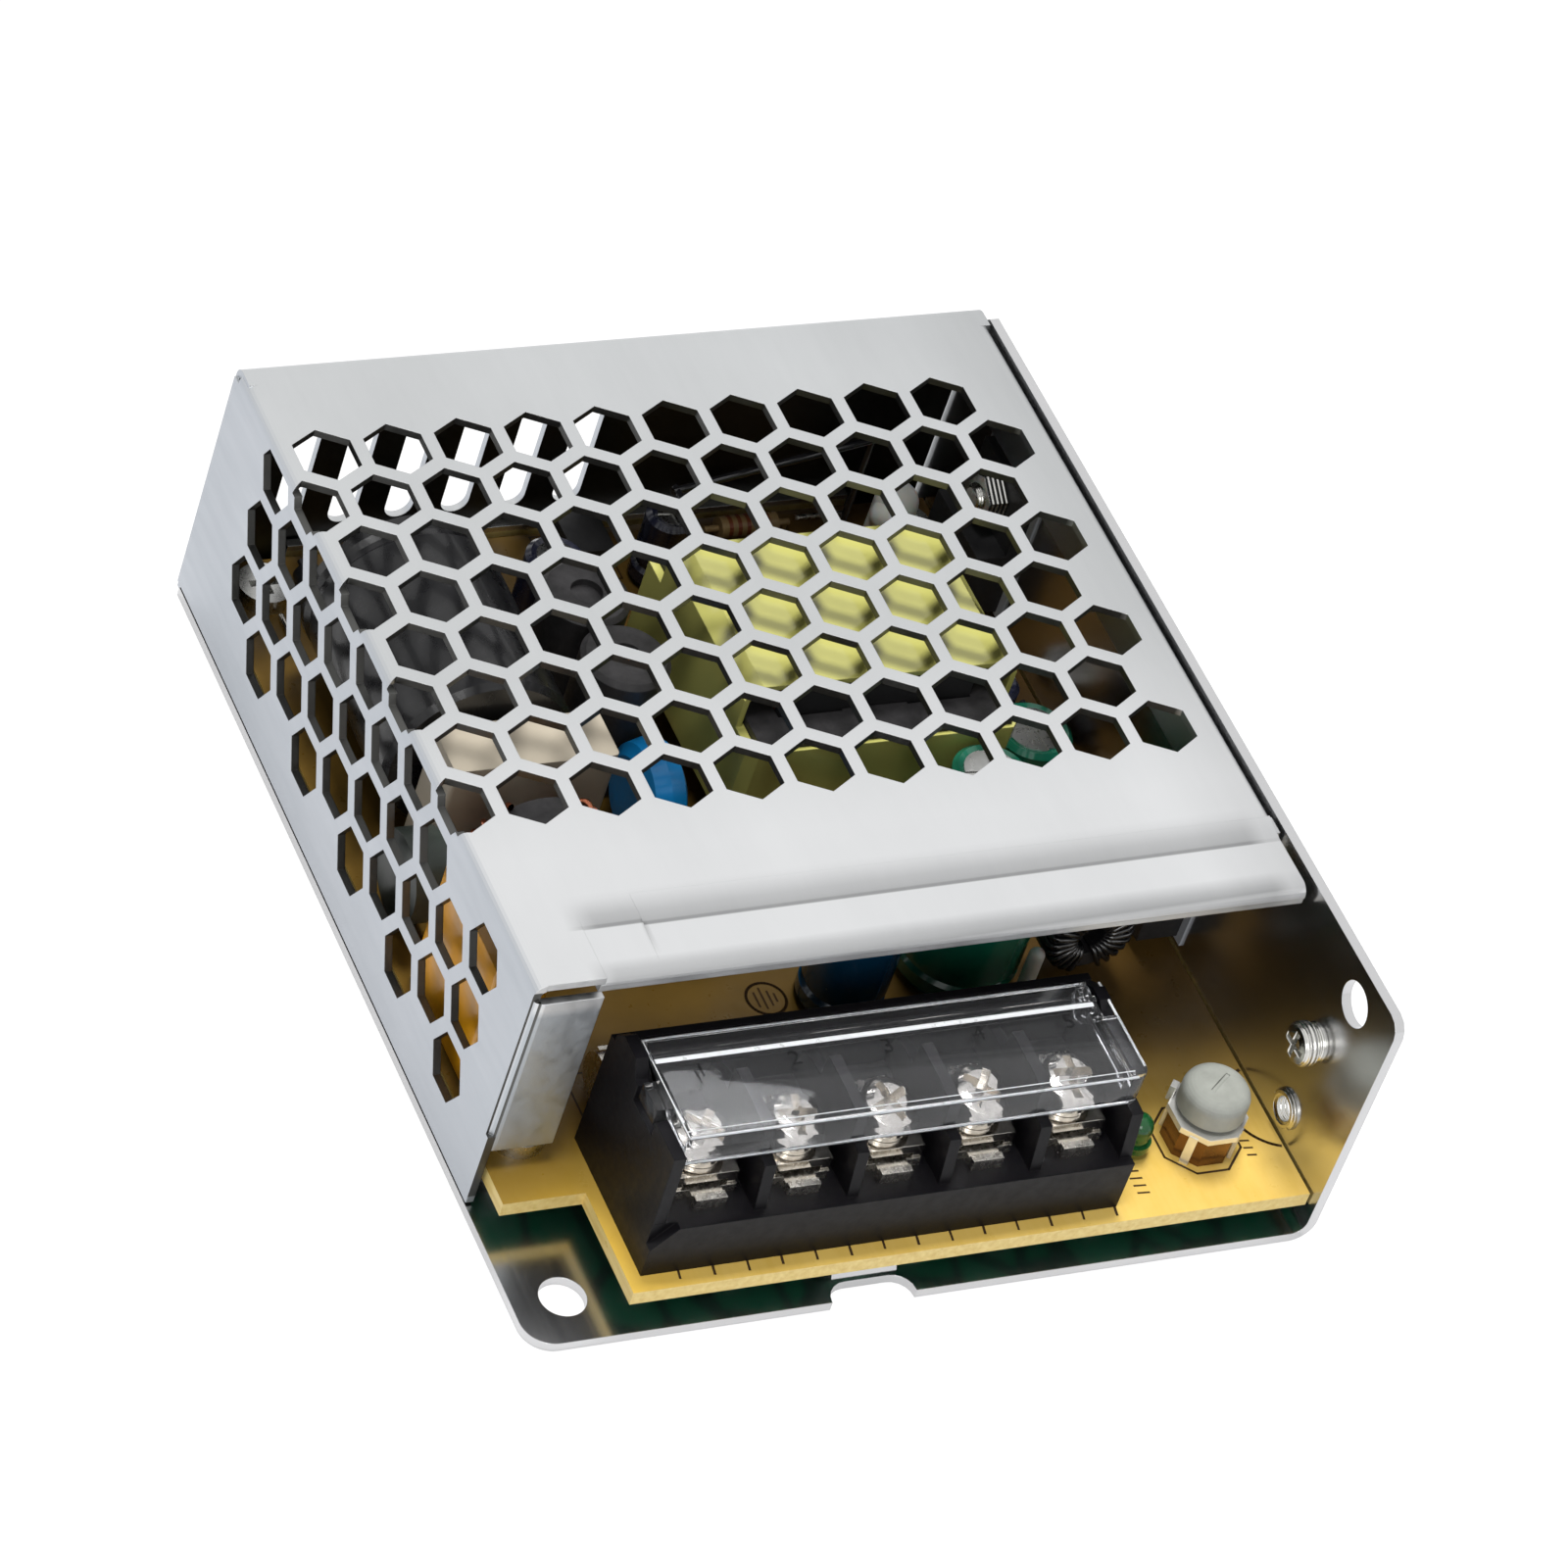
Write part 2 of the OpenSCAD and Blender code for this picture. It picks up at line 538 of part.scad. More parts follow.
module terminal_lid() {
  ear = tb_y0 + 6.3;
  color([0.85, 0.88, 0.9, 0.35]) union() {
    box(lid_x0, lid_x1, lid_y0, lid_y1, lid_z0, lid_z1);
    // right end over the end wall, with a rounded corner
    translate([0, 0, lid_z0]) linear_extrude(lid_t) polygon(cat([[[lid_x1 - 1.5, lid_y0]],
      arc(tb_x1 - 1.45, lid_y0 + 1.3, 1.3, -90, 0), [[tb_x1 - 0.15, hinge_y - 2.7], [lid_x1 - 1.5, hinge_y - 2.7]]]));
    translate([0, 0, lid_z0 - 2.7]) linear_extrude(3.2) intersection() {
      polygon(cat([[[lid_x1 - 1.5, lid_y0]], arc(tb_x1 - 1.45, lid_y0 + 1.3, 1.3, -90, 0),
        [[lid_x1 - 1.5, lid_y0 + 1.3]]]));
      translate([lid_x1 - 2, lid_y0]) square([4, 0.9]);
    }
    // front skirt
    box(lid_x0, lid_x1, lid_y0, lid_y0 + 0.9, lid_z0 - 2.7, lid_z0 + 0.5);
    // stiffening rib
    box(lid_x0, lid_x1, hinge_y - 0.9, hinge_y - 0.3, lid_z1 - 0.1, lid_z1 + 0.3);
    for (s = [0, 1]) {
      x = s == 0 ? lid_x0 : lid_x1 - 0.9;
      run_x(x, x + 0.9) polygon(cat([[[lid_y0, lid_z0 + 0.5], [lid_y0, lid_z0 - 1]],
        [[hinge_y - 2.4, lid_z0 - 1]], arc(hinge_y, hinge_z, pin_r + 0.7, 200, 380, 10),
        [[hinge_y + 1.6, lid_z0 + 0.5]]]));
    }
    rod_x(tb_x0 + 0.55, lid_x0 + 0.2, hinge_y, hinge_z, pin_r);
    rod_x(lid_x1 - 0.2, tb_x1 - 0.55, hinge_y, hinge_z, pin_r);
    // catch over the end wall
    box(tb_x0, lid_x0 + 0.2, ear, ear + 3.4, lid_z1 - 1.9, lid_z1);
  }
}

module terminal_plates() {
  color([0.8, 0.8, 0.78]) for (i = [0:4]) translate([term_i(i), 0, 0]) difference() {
    union() {
      box(-3.2, 3.2, screw_y - 3.4, tb_y1 - 3.8, cell_z, plate_z);
      box(-1.6, 1.6, tb_y0 + 1.9, screw_y - 3.3, cell_z, plate_z);
      box(-1.6, 1.6, tb_y0 + 1.9, tb_y0 + 2.7, cell_z, plate_z + 0.3);
      box(-1.3, 1.3, tb_y1 - 4.8, tb_y1 - 3.8, board_z0 - 1.4, cell_z + 0.5);
    }
    post(0, screw_y, cell_z - 1, plate_z + 1, term_screw_r + term_play);
  }
}

module clamp_washer(i) {
  w = clamp_w / 2;
  color([0.82, 0.82, 0.8]) translate([term_i(i - 1), screw_y, 0]) difference() {
    union() {
      box(-w, w, -w, w, washer_z0 + 0.55, washer_z1);
      box(-w, -w + 0.9, -w, w, washer_z0, washer_z0 + 0.6);
      box(w - 0.9, w, -w, w, washer_z0, washer_z0 + 0.6);
    }
    post(0, 0, washer_z0 - 1, washer_z1 + 1, term_screw_r + term_play);
  }
}
module clamp_washer_1() { clamp_washer(1); }
module clamp_washer_2() { clamp_washer(2); }
module clamp_washer_3() { clamp_washer(3); }
module clamp_washer_4() { clamp_washer(4); }
module clamp_washer_5() { clamp_washer(5); }

module terminal_screw(i) {
  color([0.84, 0.83, 0.8]) difference() {
    turned(term_i(i - 1), screw_y) polygon([[0, cell_z - 4.6], [term_screw_r - 0.5, cell_z - 4.6],
      [term_screw_r, cell_z - 4.1], [term_screw_r, head_z0], [2.5, head_z0], [2.5, head_z0 + 0.6],
      [2.1, head_z0 + 0.7], [2.8, head_z0 + 0.8], [2.8, head_z1 - 0.8], [2.3, head_z1 - 0.25],
      [1.6, head_z1], [0, head_z1]]);
    translate([term_i(i - 1), screw_y, head_z1 - 1.1]) rotate(20 + 31 * i) {
      translate([-1.9, -0.4, 0]) cube([3.8, 0.8, 2]);
      translate([-0.4, -1.9, 0]) cube([0.8, 3.8, 2]);
    }
  }
}
module terminal_screw_1() { terminal_screw(1); }
module terminal_screw_2() { terminal_screw(2); }
module terminal_screw_3() { terminal_screw(3); }
module terminal_screw_4() { terminal_screw(4); }
module terminal_screw_5() { terminal_screw(5); }

module trimmer_base() {
  color([0.45, 0.27, 0.13]) difference() {
    translate([trim_x, trim_y, board_z]) rotate(22.5) cylinder(h = trim_z - board_z, r = 3.6, $fn = 8);
    post(trim_x, trim_y, board_z + 0.5, trim_z + 1, shaft_r + shaft_play);
  }
}
module trimmer_contact() {
  color([0.85, 0.85, 0.84]) translate([trim_x, trim_y, 0]) difference() {
    union() {
      translate([0, 0, trim_z]) rotate(22.5) cylinder(h = 0.7, r = 4, $fn = 8);
      for (a = [135, 225, 315]) rotate(a) box(3.38, 3.78, -0.45, 0.45, board_z, trim_z + 0.2);
      // lug that stands up beside the knob
      rotate(135) box(3.55, 4.2, -0.5, 0.5, trim_z + 0.1, trim_z + 1.9);
    }
    post(0, 0, trim_z - 1, trim_z + 1, 2.2);
  }
}
module trimmer_knob() {
  color([0.78, 0.79, 0.75]) difference() {
    turned(trim_x, trim_y) polygon(cat([[[0, trim_z - 1.6], [shaft_r, trim_z - 1.6], [shaft_r, knob_z0],
      [knob_r - 0.3, knob_z0], [knob_r, knob_z0 + 0.3]], arc(knob_r - 1.5, knob_z1 - 1.8, 1.5, 0, 80),
      [[0, knob_z1]]]));
    translate([trim_x, trim_y, knob_z1 - 0.3]) rotate(35) translate([-1.5, -0.2, 0]) cube([3, 0.4, 1]);
  }
}
module status_led() {
  color([0.2, 0.75, 0.3, 0.8]) turned(led_x, led_y) polygon(cat([[[0, board_z], [0.9, board_z],
    [0.9, board_z + 0.8], [1.7, board_z + 0.8], [1.7, board_z + 1.6], [1.4, board_z + 1.6]],
    arc(0, board_z + 3.2, 1.4, 0, 90, 8)]));
}

module fuse_tube() {
  color([0.9, 0.9, 0.86]) rod_x(fuse_x + 3, fuse_x + 16.8, fuse_y, fuse_z, 2.4);
}
module fuse_caps() {
  color([0.8, 0.8, 0.78]) for (x = [fuse_x, fuse_x + 13.8]) difference() {
    rod_x(x, x + 6, fuse_y, fuse_z, 2.6);
    rod_x(fuse_x + 3, fuse_x + 16.8, fuse_y, fuse_z, 2.4);
  }
}
module fuse_clips() {
  color([0.8, 0.8, 0.78]) for (x = [fuse_x + 1.2, fuse_x + 15.6]) difference() {
    box(x, x + 2.8, fuse_y - 3, fuse_y + 3, board_z, board_z + 4.6);
    rod_x(x - 1, x + 4, fuse_y, fuse_z, 2.62);
    box(x - 1, x + 4, fuse_y - 1.6, fuse_y + 1.6, fuse_z, board_z + 6);
  }
}

module rounded_block(x0, x1, y0, y1, z0, z1, r) {
  translate([0, 0, z0]) linear_extrude(z1 - z0) polygon(cat([arc(x0 + r, y0 + r, r, 180, 270, 4),
    arc(x1 - r, y0 + r, r, 270, 360, 4), arc(x1 - r, y1 - r, r, 0, 90, 4), arc(x0 + r, y1 - r, r, 90, 180, 4)]));
}
module x_capacitor() {
  color([0.9, 0.66, 0.18]) union() {
    rounded_block(xcap_x, xcap_x + xcap_w, xcap_y, xcap_y + xcap_l, board_z + 0.4, board_z + 0.4 + xcap_h, 0.5);
    for (y = [xcap_y + 2.5, xcap_y + xcap_l - 3.5])
      box(xcap_x + xcap_w / 2 - 0.4, xcap_x + xcap_w / 2 + 0.4, y, y + 0.8, board_z, board_z + 0.5);
  }
}
module line_capacitor() {
  color([0.83, 0.79, 0.70]) union() {
    rounded_block(line_x, line_x + linecap_w, line_y, line_y + linecap_d, board_z + 0.4,
      board_z + 0.4 + linecap_h, 0.5);
    for (x = [line_x + 1.7, line_x + linecap_w - 2.3])
      box(x, x + 0.8, line_y + linecap_d / 2 - 0.4, line_y + linecap_d / 2 + 0.4, board_z, board_z + 0.5);
  }
}
module choke_core() {
  color([0.2, 0.2, 0.22]) translate([choke_x, choke_y, choke_z]) rotate([90, 0, 0]) difference() {
    cylinder(h = choke_t, r = choke_ro, center = true);
    cylinder(h = choke_t + 2, r = choke_ri, center = true);
  }
}
module choke_windings() {
  color([0.72, 0.42, 0.28]) for (a = [-62, 118]) translate([choke_x, choke_y, choke_z]) rotate([90, 0, 0])
    rotate(a) rotate_extrude(angle = 124) difference() {
      translate([choke_ri - 1, -choke_t / 2 - 1]) square([choke_ro - choke_ri + 2, choke_t + 2]);
      translate([choke_ri, -choke_t / 2]) square([choke_ro - choke_ri, choke_t]);
    }
}
module choke_stand() {
  color([0.12, 0.12, 0.13]) union() {
    translate([choke_x, choke_y, 0]) {
      box(-choke_ro - 0.3, choke_ro + 1.3, -choke_t / 2 - 1.7, choke_t / 2 + 1.7, board_z, board_z + 0.5);
      box(-0.4, 0.4, -choke_t / 2 - 0.7, choke_t / 2 + 0.7, board_z + 0.3, choke_z - choke_ro - 0.05);
      box(-0.4, 0.4, -choke_t / 2 - 0.7, choke_t / 2 + 0.7, choke_z - choke_ri + 0.1, choke_z + choke_ri - 0.1);
      for (y = [-choke_t / 2 - 0.8, choke_t / 2 + 0.05])
        box(-0.4, 0.4, y, y + 0.75, board_z + 0.4, choke_z + choke_ri - 0.2);
    }
  }
}
module bridge_rectifier() {
  color([0.12, 0.12, 0.12]) union() {
    translate([ind_x - 4, tr_y0 - 8.4, board_z]) cube([11, 3.5, 14.4]);
    for (i = [0:3]) translate([ind_x - 3 + i * 2.9, tr_y0 - 7, board_z]) cube([0.7, 0.7, 2.8]);
  }
}
module bulk_capacitor() {
  color([0.10, 0.10, 0.12]) translate([bulk_x, bulk_y, board_z + 0.2 + bulk_r]) rotate([-90, 0, 0])
    rotate_extrude()
    polygon([[0, 0], [bulk_r - 0.6, 0], [bulk_r, 0.6], [bulk_r, bulk_l - 3.2],
    [bulk_r - 0.5, bulk_l - 2.7], [bulk_r - 0.5, bulk_l - 2], [bulk_r, bulk_l - 1.5],
    [bulk_r, bulk_l - 0.5], [bulk_r - 1, bulk_l], [bulk_r - 1.6, bulk_l - 0.4], [0, bulk_l - 0.4]]);
}
module surge_disc() {
  color([0.16, 0.18, 0.17]) union() {
    translate([board_x0, line_y - 3.6, 0]) {
      rod_x(0.9, 4.7, 0, board_z + 6.4, 4.6);
      for (y = [-2.4, 2]) box(2.5, 3.1, y, y + 0.6, board_z, board_z + 3.4);
    }
  }
}
module y_capacitor() {
  color([0.05, 0.40, 0.62]) union() {
    translate([ind_x + 0.4, ind_y - 4.8 - disc_r, board_z + 1.2 + disc_r]) rotate([0, 90, 0]) rotate_extrude()
      polygon([[0, -disc_t / 2], [disc_r - 1.6, -disc_t / 2], [disc_r - 0.4, -disc_t / 2 + 0.7],
      [disc_r, 0], [disc_r - 0.4, disc_t / 2 - 0.7], [disc_r - 1.6, disc_t / 2], [0, disc_t / 2]]);
    for (y = [-disc_r - 7.8, -disc_r - 2.4])
      translate([ind_x + 0.1, ind_y + y, board_z]) cube([0.6, 0.6, 3.6]);
  }
}

module transformer_core() {
  w = trafo_w / 2 - 1;
  z0 = board_z + 5.6;
  z1 = board_z + 16.4;
  color([0.17, 0.16, 0.16]) difference() {
    box(tr_x - w, tr_x + w, tr_y0, tr_y0 + trafo_l, z0, z1);
    for (s = [-1, 1]) translate([tr_x + s * (w / 2 + 0.1), 0, 0])
      box(-w / 2 + 3.4, w / 2 - 3.4, tr_y0 + 3.3, tr_y0 + trafo_l - 3.3, z0 - 1, z1 + 1);
  }
}
module transformer_bobbin() {
  y0 = tr_y0 + 3.5;
  y1 = tr_y0 + trafo_l - 3.5;
  z0 = board_z + 5.6;
  z1 = board_z + 16.4;
  w = trafo_w / 2 - 1;
  xi = w / 2 + 0.1 - (w / 2 - 3.4);
  xo = w / 2 + 0.1 + (w / 2 - 3.4);
  color([0.12, 0.12, 0.12]) union() {
    // end flanges above and below the core, with the pin rails
    for (y = [y0, y1 - 0.9]) {
      box(tr_x - xo + 0.1, tr_x + xo - 0.1, y, y + 0.9, z1 + 0.15, board_z + trafo_h - 0.7);
      box(tr_x - xo + 0.1, tr_x + xo - 0.1, y, y + 0.9, board_z + 3.2, z0 - 0.15);
      for (s = [-1, 1]) box(tr_x + s * (xi + xo) / 2 - (xo - xi) / 2 + 0.1,
        tr_x + s * (xi + xo) / 2 + (xo - xi) / 2 - 0.1, y, y + 0.9, z0 - 0.2, z1 + 0.2);
    }
    // tube around the middle leg
    difference() {
      box(tr_x - xi - 0.9, tr_x + xi + 0.9, y0 + 0.5, y1 - 0.5, z0 - 0.95, z1 + 0.95);
      box(tr_x - xi - 0.1, tr_x + xi + 0.1, y0, y1, z0 - 0.15, z1 + 0.15);
    }
    box(tr_x - 12.6, tr_x + 12.6, tr_y0 - 0.2, y0 - 0.3, board_z + 1.6, board_z + 5.2);
    box(tr_x - xo + 0.2, tr_x + xo - 0.2, y0 - 0.5, y0 + 0.2, board_z + 3.2, board_z + 5.2);
    box(tr_x - 12.6, tr_x + 12.6, y1 + 0.1, tr_y0 + trafo_l + 0.2, board_z + 1.6, board_z + 5.2);
    box(tr_x - xo + 0.2, tr_x + xo - 0.2, y1 - 0.2, y1 + 0.3, board_z + 3.2, board_z + 5.2);
    for (i = [0:5]) for (y = [tr_y0 + 1, tr_y0 + trafo_l - 1.6])
      box(tr_x - 10.3 + i * 4, tr_x - 9.7 + i * 4, y, y + 0.6, board_z, board_z + 1.8);
  }
}
module transformer_winding() {
  y0 = tr_y0 + 4.5;
  y1 = tr_y0 + trafo_l - 4.5;
  w = trafo_w / 2 - 1;
  xi = w / 2 + 0.1 - (w / 2 - 3.4) + 1;
  xo = w / 2 + 0.1 + (w / 2 - 3.4) - 0.15;
  color([0.70, 0.45, 0.25]) difference() {
    box(tr_x - xo, tr_x + xo, y0, y1, board_z + 3.25, board_z + trafo_h - 0.8);
    box(tr_x - xi, tr_x + xi, y0 - 1, y1 + 1, board_z + 4.5, board_z + 17.5);
  }
}
module transformer_tape() {
  y0 = tr_y0 + 3.4;
  y1 = tr_y0 + trafo_l - 3.6;
  w = trafo_w / 2;
  c = 1.6;
  z0 = board_z + 2;
  z1 = board_z + trafo_h;
  color([0.87, 0.88, 0.42]) union() {
    run_y(y0, y1) difference() {
      polygon([[tr_x - w, z0 + 3.5], [tr_x - w, z1 - c], [tr_x - w + c, z1], [tr_x + w - c, z1],
        [tr_x + w, z1 - c], [tr_x + w, z0 + 3.5], [tr_x + w - c, z0 + 2 ], [tr_x + w - 5, z0 + 0.2],
        [tr_x - w + 5, z0 + 0.2], [tr_x - w + c, z0 + 2]]);
      polygon([[tr_x - w + 0.6, z0 + 3.55], [tr_x - w + 0.6, z1 - c - 0.2], [tr_x - w + c + 0.2, z1 - 0.6],
        [tr_x + w - c - 0.2, z1 - 0.6], [tr_x + w - 0.6, z1 - c - 0.2], [tr_x + w - 0.6, z0 + 3.55],
        [tr_x + w - c - 0.2, z0 + 2.55], [tr_x + w - 5.1, z0 + 0.65], [tr_x - w + 5.1, z0 + 0.65],
        [tr_x - w + c + 0.2, z0 + 2.55]]);
    }
    // band around the outside of the core
    translate([0, 0, board_z + 6.6]) linear_extrude(9) difference() {
      polygon([[tr_x - w, tr_y0 + 0.5], [tr_x - w + 1, tr_y0 - 0.5], [tr_x + w - 1, tr_y0 - 0.5],
        [tr_x + w, tr_y0 + 0.5], [tr_x + w, tr_y0 + trafo_l - 0.5], [tr_x + w - 1, tr_y0 + trafo_l + 0.5],
        [tr_x - w + 1, tr_y0 + trafo_l + 0.5], [tr_x - w, tr_y0 + trafo_l - 0.5]]);
      translate([tr_x - w + 0.95, tr_y0 - 0.05]) square([2 * w - 1.9, trafo_l + 0.1]);
    }
  }
}

// a power device standing against its pad on the plain wall
module power_device(y) {
  x1 = wall_in - 0.25;
  difference() {
    union() {
      box(x1 - 1.3, x1, y - 5.1, y + 5.1, board_z + 1.5, device_top);
      box(x1 - 4.5, x1 - 1.25, y - 5.1, y + 5.1, board_z + 1.5, board_z + 9.4);
      for (dy = [-2.54, 0, 2.54]) box(x1 - 3, x1 - 2.3, y + dy - 0.4, y + dy + 0.4, board_z, board_z + 1.6);
    }
    rod_x(x1 - 6, x1 + 1, y, wall_screw_z, m3_r + tab_play);
  }
}
module transistor() {
  color([0.14, 0.14, 0.15]) power_device(wall_screw_y()[2]);
}
module output_diode() {
  color([0.14, 0.14, 0.15]) power_device(wall_screw_y()[1]);
}
module thermal_pads() {
  color([0.75, 0.76, 0.80]) for (y = [wall_screw_y()[1], wall_screw_y()[2]]) difference() {
    box(wall_in - 0.25, wall_in, y - 6, y + 6, board_z + 1, device_top + 0.4);
    rod_x(wall_in - 1, wall_in + 1, y, wall_screw_z, m3_r + tab_play + 0.25);
  }
}

module can(x, y, r, h) {
  turned(x, y) polygon([[0, board_z], [r - 0.7, board_z], [r - 0.7, board_z + 0.5], [r, board_z + 0.9],
    [r, board_z + 2.2], [r - 0.4, board_z + 2.6], [r - 0.4, board_z + 3], [r, board_z + 3.4],
    [r, board_z + h - 0.5], [r - 0.5, board_z + h], [r - 1, board_z + h - 0.25], [0, board_z + h - 0.25]]);
}
module output_capacitors() {
  color([0.06, 0.30, 0.22]) {
    can(out_x, out_y, outcap_r, outcap_h);
    can(out_x + 5, small_y, smallcap_r, smallcap_h);
    can(part_x1 - 8.7, tr_y0 + 4, smallcap_r, smallcap_h - 4.6);
  }
}
module aux_capacitors() {
  color([0.12, 0.13, 0.2]) {
    can(ind_x + 0.8, board_y1 - 13.6, 3.15, 11);
    can(tr_x - 5.45, board_y1 - 7.5, 2.5, 9);
    can(part_x1 - 7.8, tr_y0 + 13.4, 2.5, 7);
  }
}
module filter_capacitor() {
  color([0.05, 0.14, 0.32]) can(filter_x, filter_y, filtercap_r, 12);
}
module coil_core() {
  color([0.3, 0.32, 0.3]) translate([coil_x, coil_y, coil_z]) rotate([90, 0, 0]) difference() {
    cylinder(h = coil_t, r = coil_ro, center = true);
    cylinder(h = coil_t + 2, r = coil_ri, center = true);
  }
}
module coil_winding() {
  color([0.1, 0.1, 0.1]) translate([coil_x, coil_y, coil_z]) {
    rotate([90, 0, 0]) rotate(-75) rotate_extrude(angle = 330) difference() {
      translate([coil_ri - 1.1, -coil_t / 2 - 1.1]) square([coil_ro - coil_ri + 2.2, coil_t + 2.2]);
      translate([coil_ri, -coil_t / 2]) square([coil_ro - coil_ri, coil_t]);
    }
    for (x = [-2.4, 2]) box(x, x + 0.8, -0.4, 0.4, -coil_ro - 1.8, -coil_ro);
  }
}
module optocoupler() {
  color([0.13, 0.13, 0.13]) union() {
    translate([tr_x - 14.45, board_y1 - 6.7, board_z + 0.6]) cube([4.6, 5.8, 3.2]);
    for (y = [5.4, 2.8]) translate([tr_x - 15.45, board_y1 - y, board_z]) cube([6.6, 0.6, 1.4]);
  }
}
module control_chip() {
  color([0.12, 0.12, 0.12]) union() {
    translate([ind_x - 11.4, board_y1 - 8.5, board_z + 0.6]) cube([9.4, 6.2, 3.3]);
    for (i = [0:3]) translate([ind_x - 10.4 + i * 2.2, board_y1 - 9.5, board_z]) cube([0.5, 8.2, 1.6]);
  }
}
module filter_inductors() {
  color([0.11, 0.11, 0.12]) for (p = [[ind_x - 0.3, ind_y + 9.5, 14.5], [ind_x, ind_y, 15.2]])
    turned(p[0], p[1]) polygon([[0, board_z], [ind_r - 0.5, board_z], [ind_r, board_z + 0.5],
    [ind_r, board_z + p[2] - 0.5], [ind_r - 0.5, board_z + p[2]], [0.36 * ind_r, board_z + p[2]],
    [0.36 * ind_r, board_z + p[2] - 0.8], [0, board_z + p[2] - 0.8]]);
}
// small axial parts lying on the board
module axial_x(x, y, l, r) {
  rod_x(x - l / 2, x + l / 2, y, board_z + r, r);
  rod_x(x - l / 2 - 1.6, x + l / 2 + 1.6, y, board_z + r, 0.35);
  for (s = [-1, 1]) post(x + s * (l / 2 + 1.2), y, board_z, board_z + r, 0.3);
}
module axial_y(x, y, l, r) {
  rod_y(x, y - l / 2, y + l / 2, board_z + r, r);
  rod_y(x, y - l / 2 - 1.6, y + l / 2 + 1.6, board_z + r, 0.35);
  for (s = [-1, 1]) post(x, y + s * (l / 2 + 1.2), board_z, board_z + r, 0.3);
}
module resistors() {
  color([0.72, 0.62, 0.45]) {
    axial_y(part_x1 - 2.4, tr_y0 + 2.8, 6.4, 1.2);
    axial_x(tr_x + 7, board_y1 - 2.7, 6.4, 1.2);
    axial_x(tr_x + 7, board_y1 - 6.1, 6.4, 1.2);
    axial_y(board_x0 + 13.3, board_y1 - 6.1, 6.4, 1.2);
    axial_x(fuse_x + 26.6, fuse_y + 0.4, 6.4, 1.2);
    axial_x(coil_x + 2.4, tr_y0 - 6, 6.4, 1.2);
  }
}
module small_diodes() {
  color([0.15, 0.15, 0.15]) {
    axial_y(board_x0 + 9.1, board_y1 - 6.1, 5, 1.4);
    axial_x(fuse_x + 39.4, fuse_y + 0.4, 5, 1.4);
    axial_x(tr_x + 7, board_y1 - 9.5, 5, 1.4);
    axial_y(part_x1 - 2.2, tr_y0 + 11.8, 4, 1.2);
  }
}
module jumper_wires() {
  color([0.8, 0.8, 0.8]) {
    rod_x(-6, 6, tb_y1 + 1.5, board_z + 0.3, 0.3);
    rod_y(part_x1 - 10.2, tr_y0 + 20, tr_y0 + 27, board_z + 0.3, 0.3);
    rod_y(board_x0 + 5.1, board_y1 - 12, board_y1 - 8, board_z + 0.3, 0.3);
    rod_x(tr_x + 13.4, tr_x + 19, board_y1 - 1.4, board_z + 0.3, 0.3);
  }
}
module flying_lead() {
  r = 0.4;
  x0 = tr_x - 7.25;
  y0 = board_y1 - 9.7;
  x1 = x0 + 24 * cos(10.7);
  y1 = y0 + 24 * sin(10.7);
  color([0.12, 0.12, 0.12]) union() {
    post(x0, tr_y1 + 2.8, board_z, 19.8, r);
    rod_y(x0, tr_y1 + 2.2, y0 + 0.5, 19.8, r - 0.04);
    translate([x0 - 0.5, y0 - 0.1, 19.8]) rotate([0, 90, 10.7]) cylinder(h = 25, r = r);
    post(x1, y1, board_z, 20.4, r - 0.04);
  }
}
module silicone_blobs() {
  color([0.9, 0.9, 0.88]) {
    translate([part_x1 - 8.7, board_y1 - 7.9, 0]) union() {
      post(0, 0, board_z, board_z + 8, 2.3);
      translate([0, 0, board_z + 8]) sphere(2.3);
      translate([-1.3, -0.9, board_z + 7.2]) sphere(1.7);
      translate([0.6, -1.5, board_z + 6.4]) sphere(1.6);
    }
    translate([bulk_x - 1.4, bulk_y + bulk_l + 2, board_z]) union() {
      cylinder(h = 2.4, r = 1.6);
      translate([0, 0, 2.4]) sphere(1.6);
    }
    // bead between the green capacitor and the ring
    translate([out_x + outcap_r - 1.5, out_y - 5.9, board_z]) union() {
      cylinder(h = 6.5, r = 0.8);
      translate([0, 0, 6.5]) sphere(0.8);
    }
  }
}
module solder_joints() {
  color([0.75, 0.75, 0.74]) {
    for (x = [-30:7.5:30]) for (y = [-7.2, 1.8, 10.8, 31.8]) turned(x, tr_y0 + y)
      polygon([[0, board_z0 - 1], [0.4, board_z0 - 0.9], [0.7, board_z0 - 0.4], [1.1, board_z0], [0, board_z0]]);
    for (x = [-27:9.5:30]) for (y = [6.8, 19.5]) turned(x, y - hl)
      polygon([[0, board_z0 - 1], [0.4, board_z0 - 0.9], [0.7, board_z0 - 0.4], [1.1, board_z0], [0, board_z0]]);
  }
}

chassis();
cover();
cover_screws();
wall_screws();
wall_nuts();
circuit_board();
board_screws();
insulation_film();
terminal_housing();
terminal_lid();
terminal_plates();
clamp_washer_1();
clamp_washer_2();
clamp_washer_3();
clamp_washer_4();
clamp_washer_5();
terminal_screw_1();
terminal_screw_2();
terminal_screw_3();
terminal_screw_4();
terminal_screw_5();
trimmer_base();
trimmer_contact();
trimmer_knob();
status_led();
fuse_tube();
fuse_caps();
fuse_clips();
x_capacitor();
line_capacitor();
choke_core();
choke_windings();
choke_stand();
bridge_rectifier();
bulk_capacitor();
surge_disc();
y_capacitor();
transformer_core();
transformer_bobbin();
transformer_winding();
transformer_tape();
transistor();
output_diode();
thermal_pads();
output_capacitors();
aux_capacitors();
filter_capacitor();
coil_core();
coil_winding();
optocoupler();
control_chip();
filter_inductors();
resistors();
small_diodes();
jumper_wires();
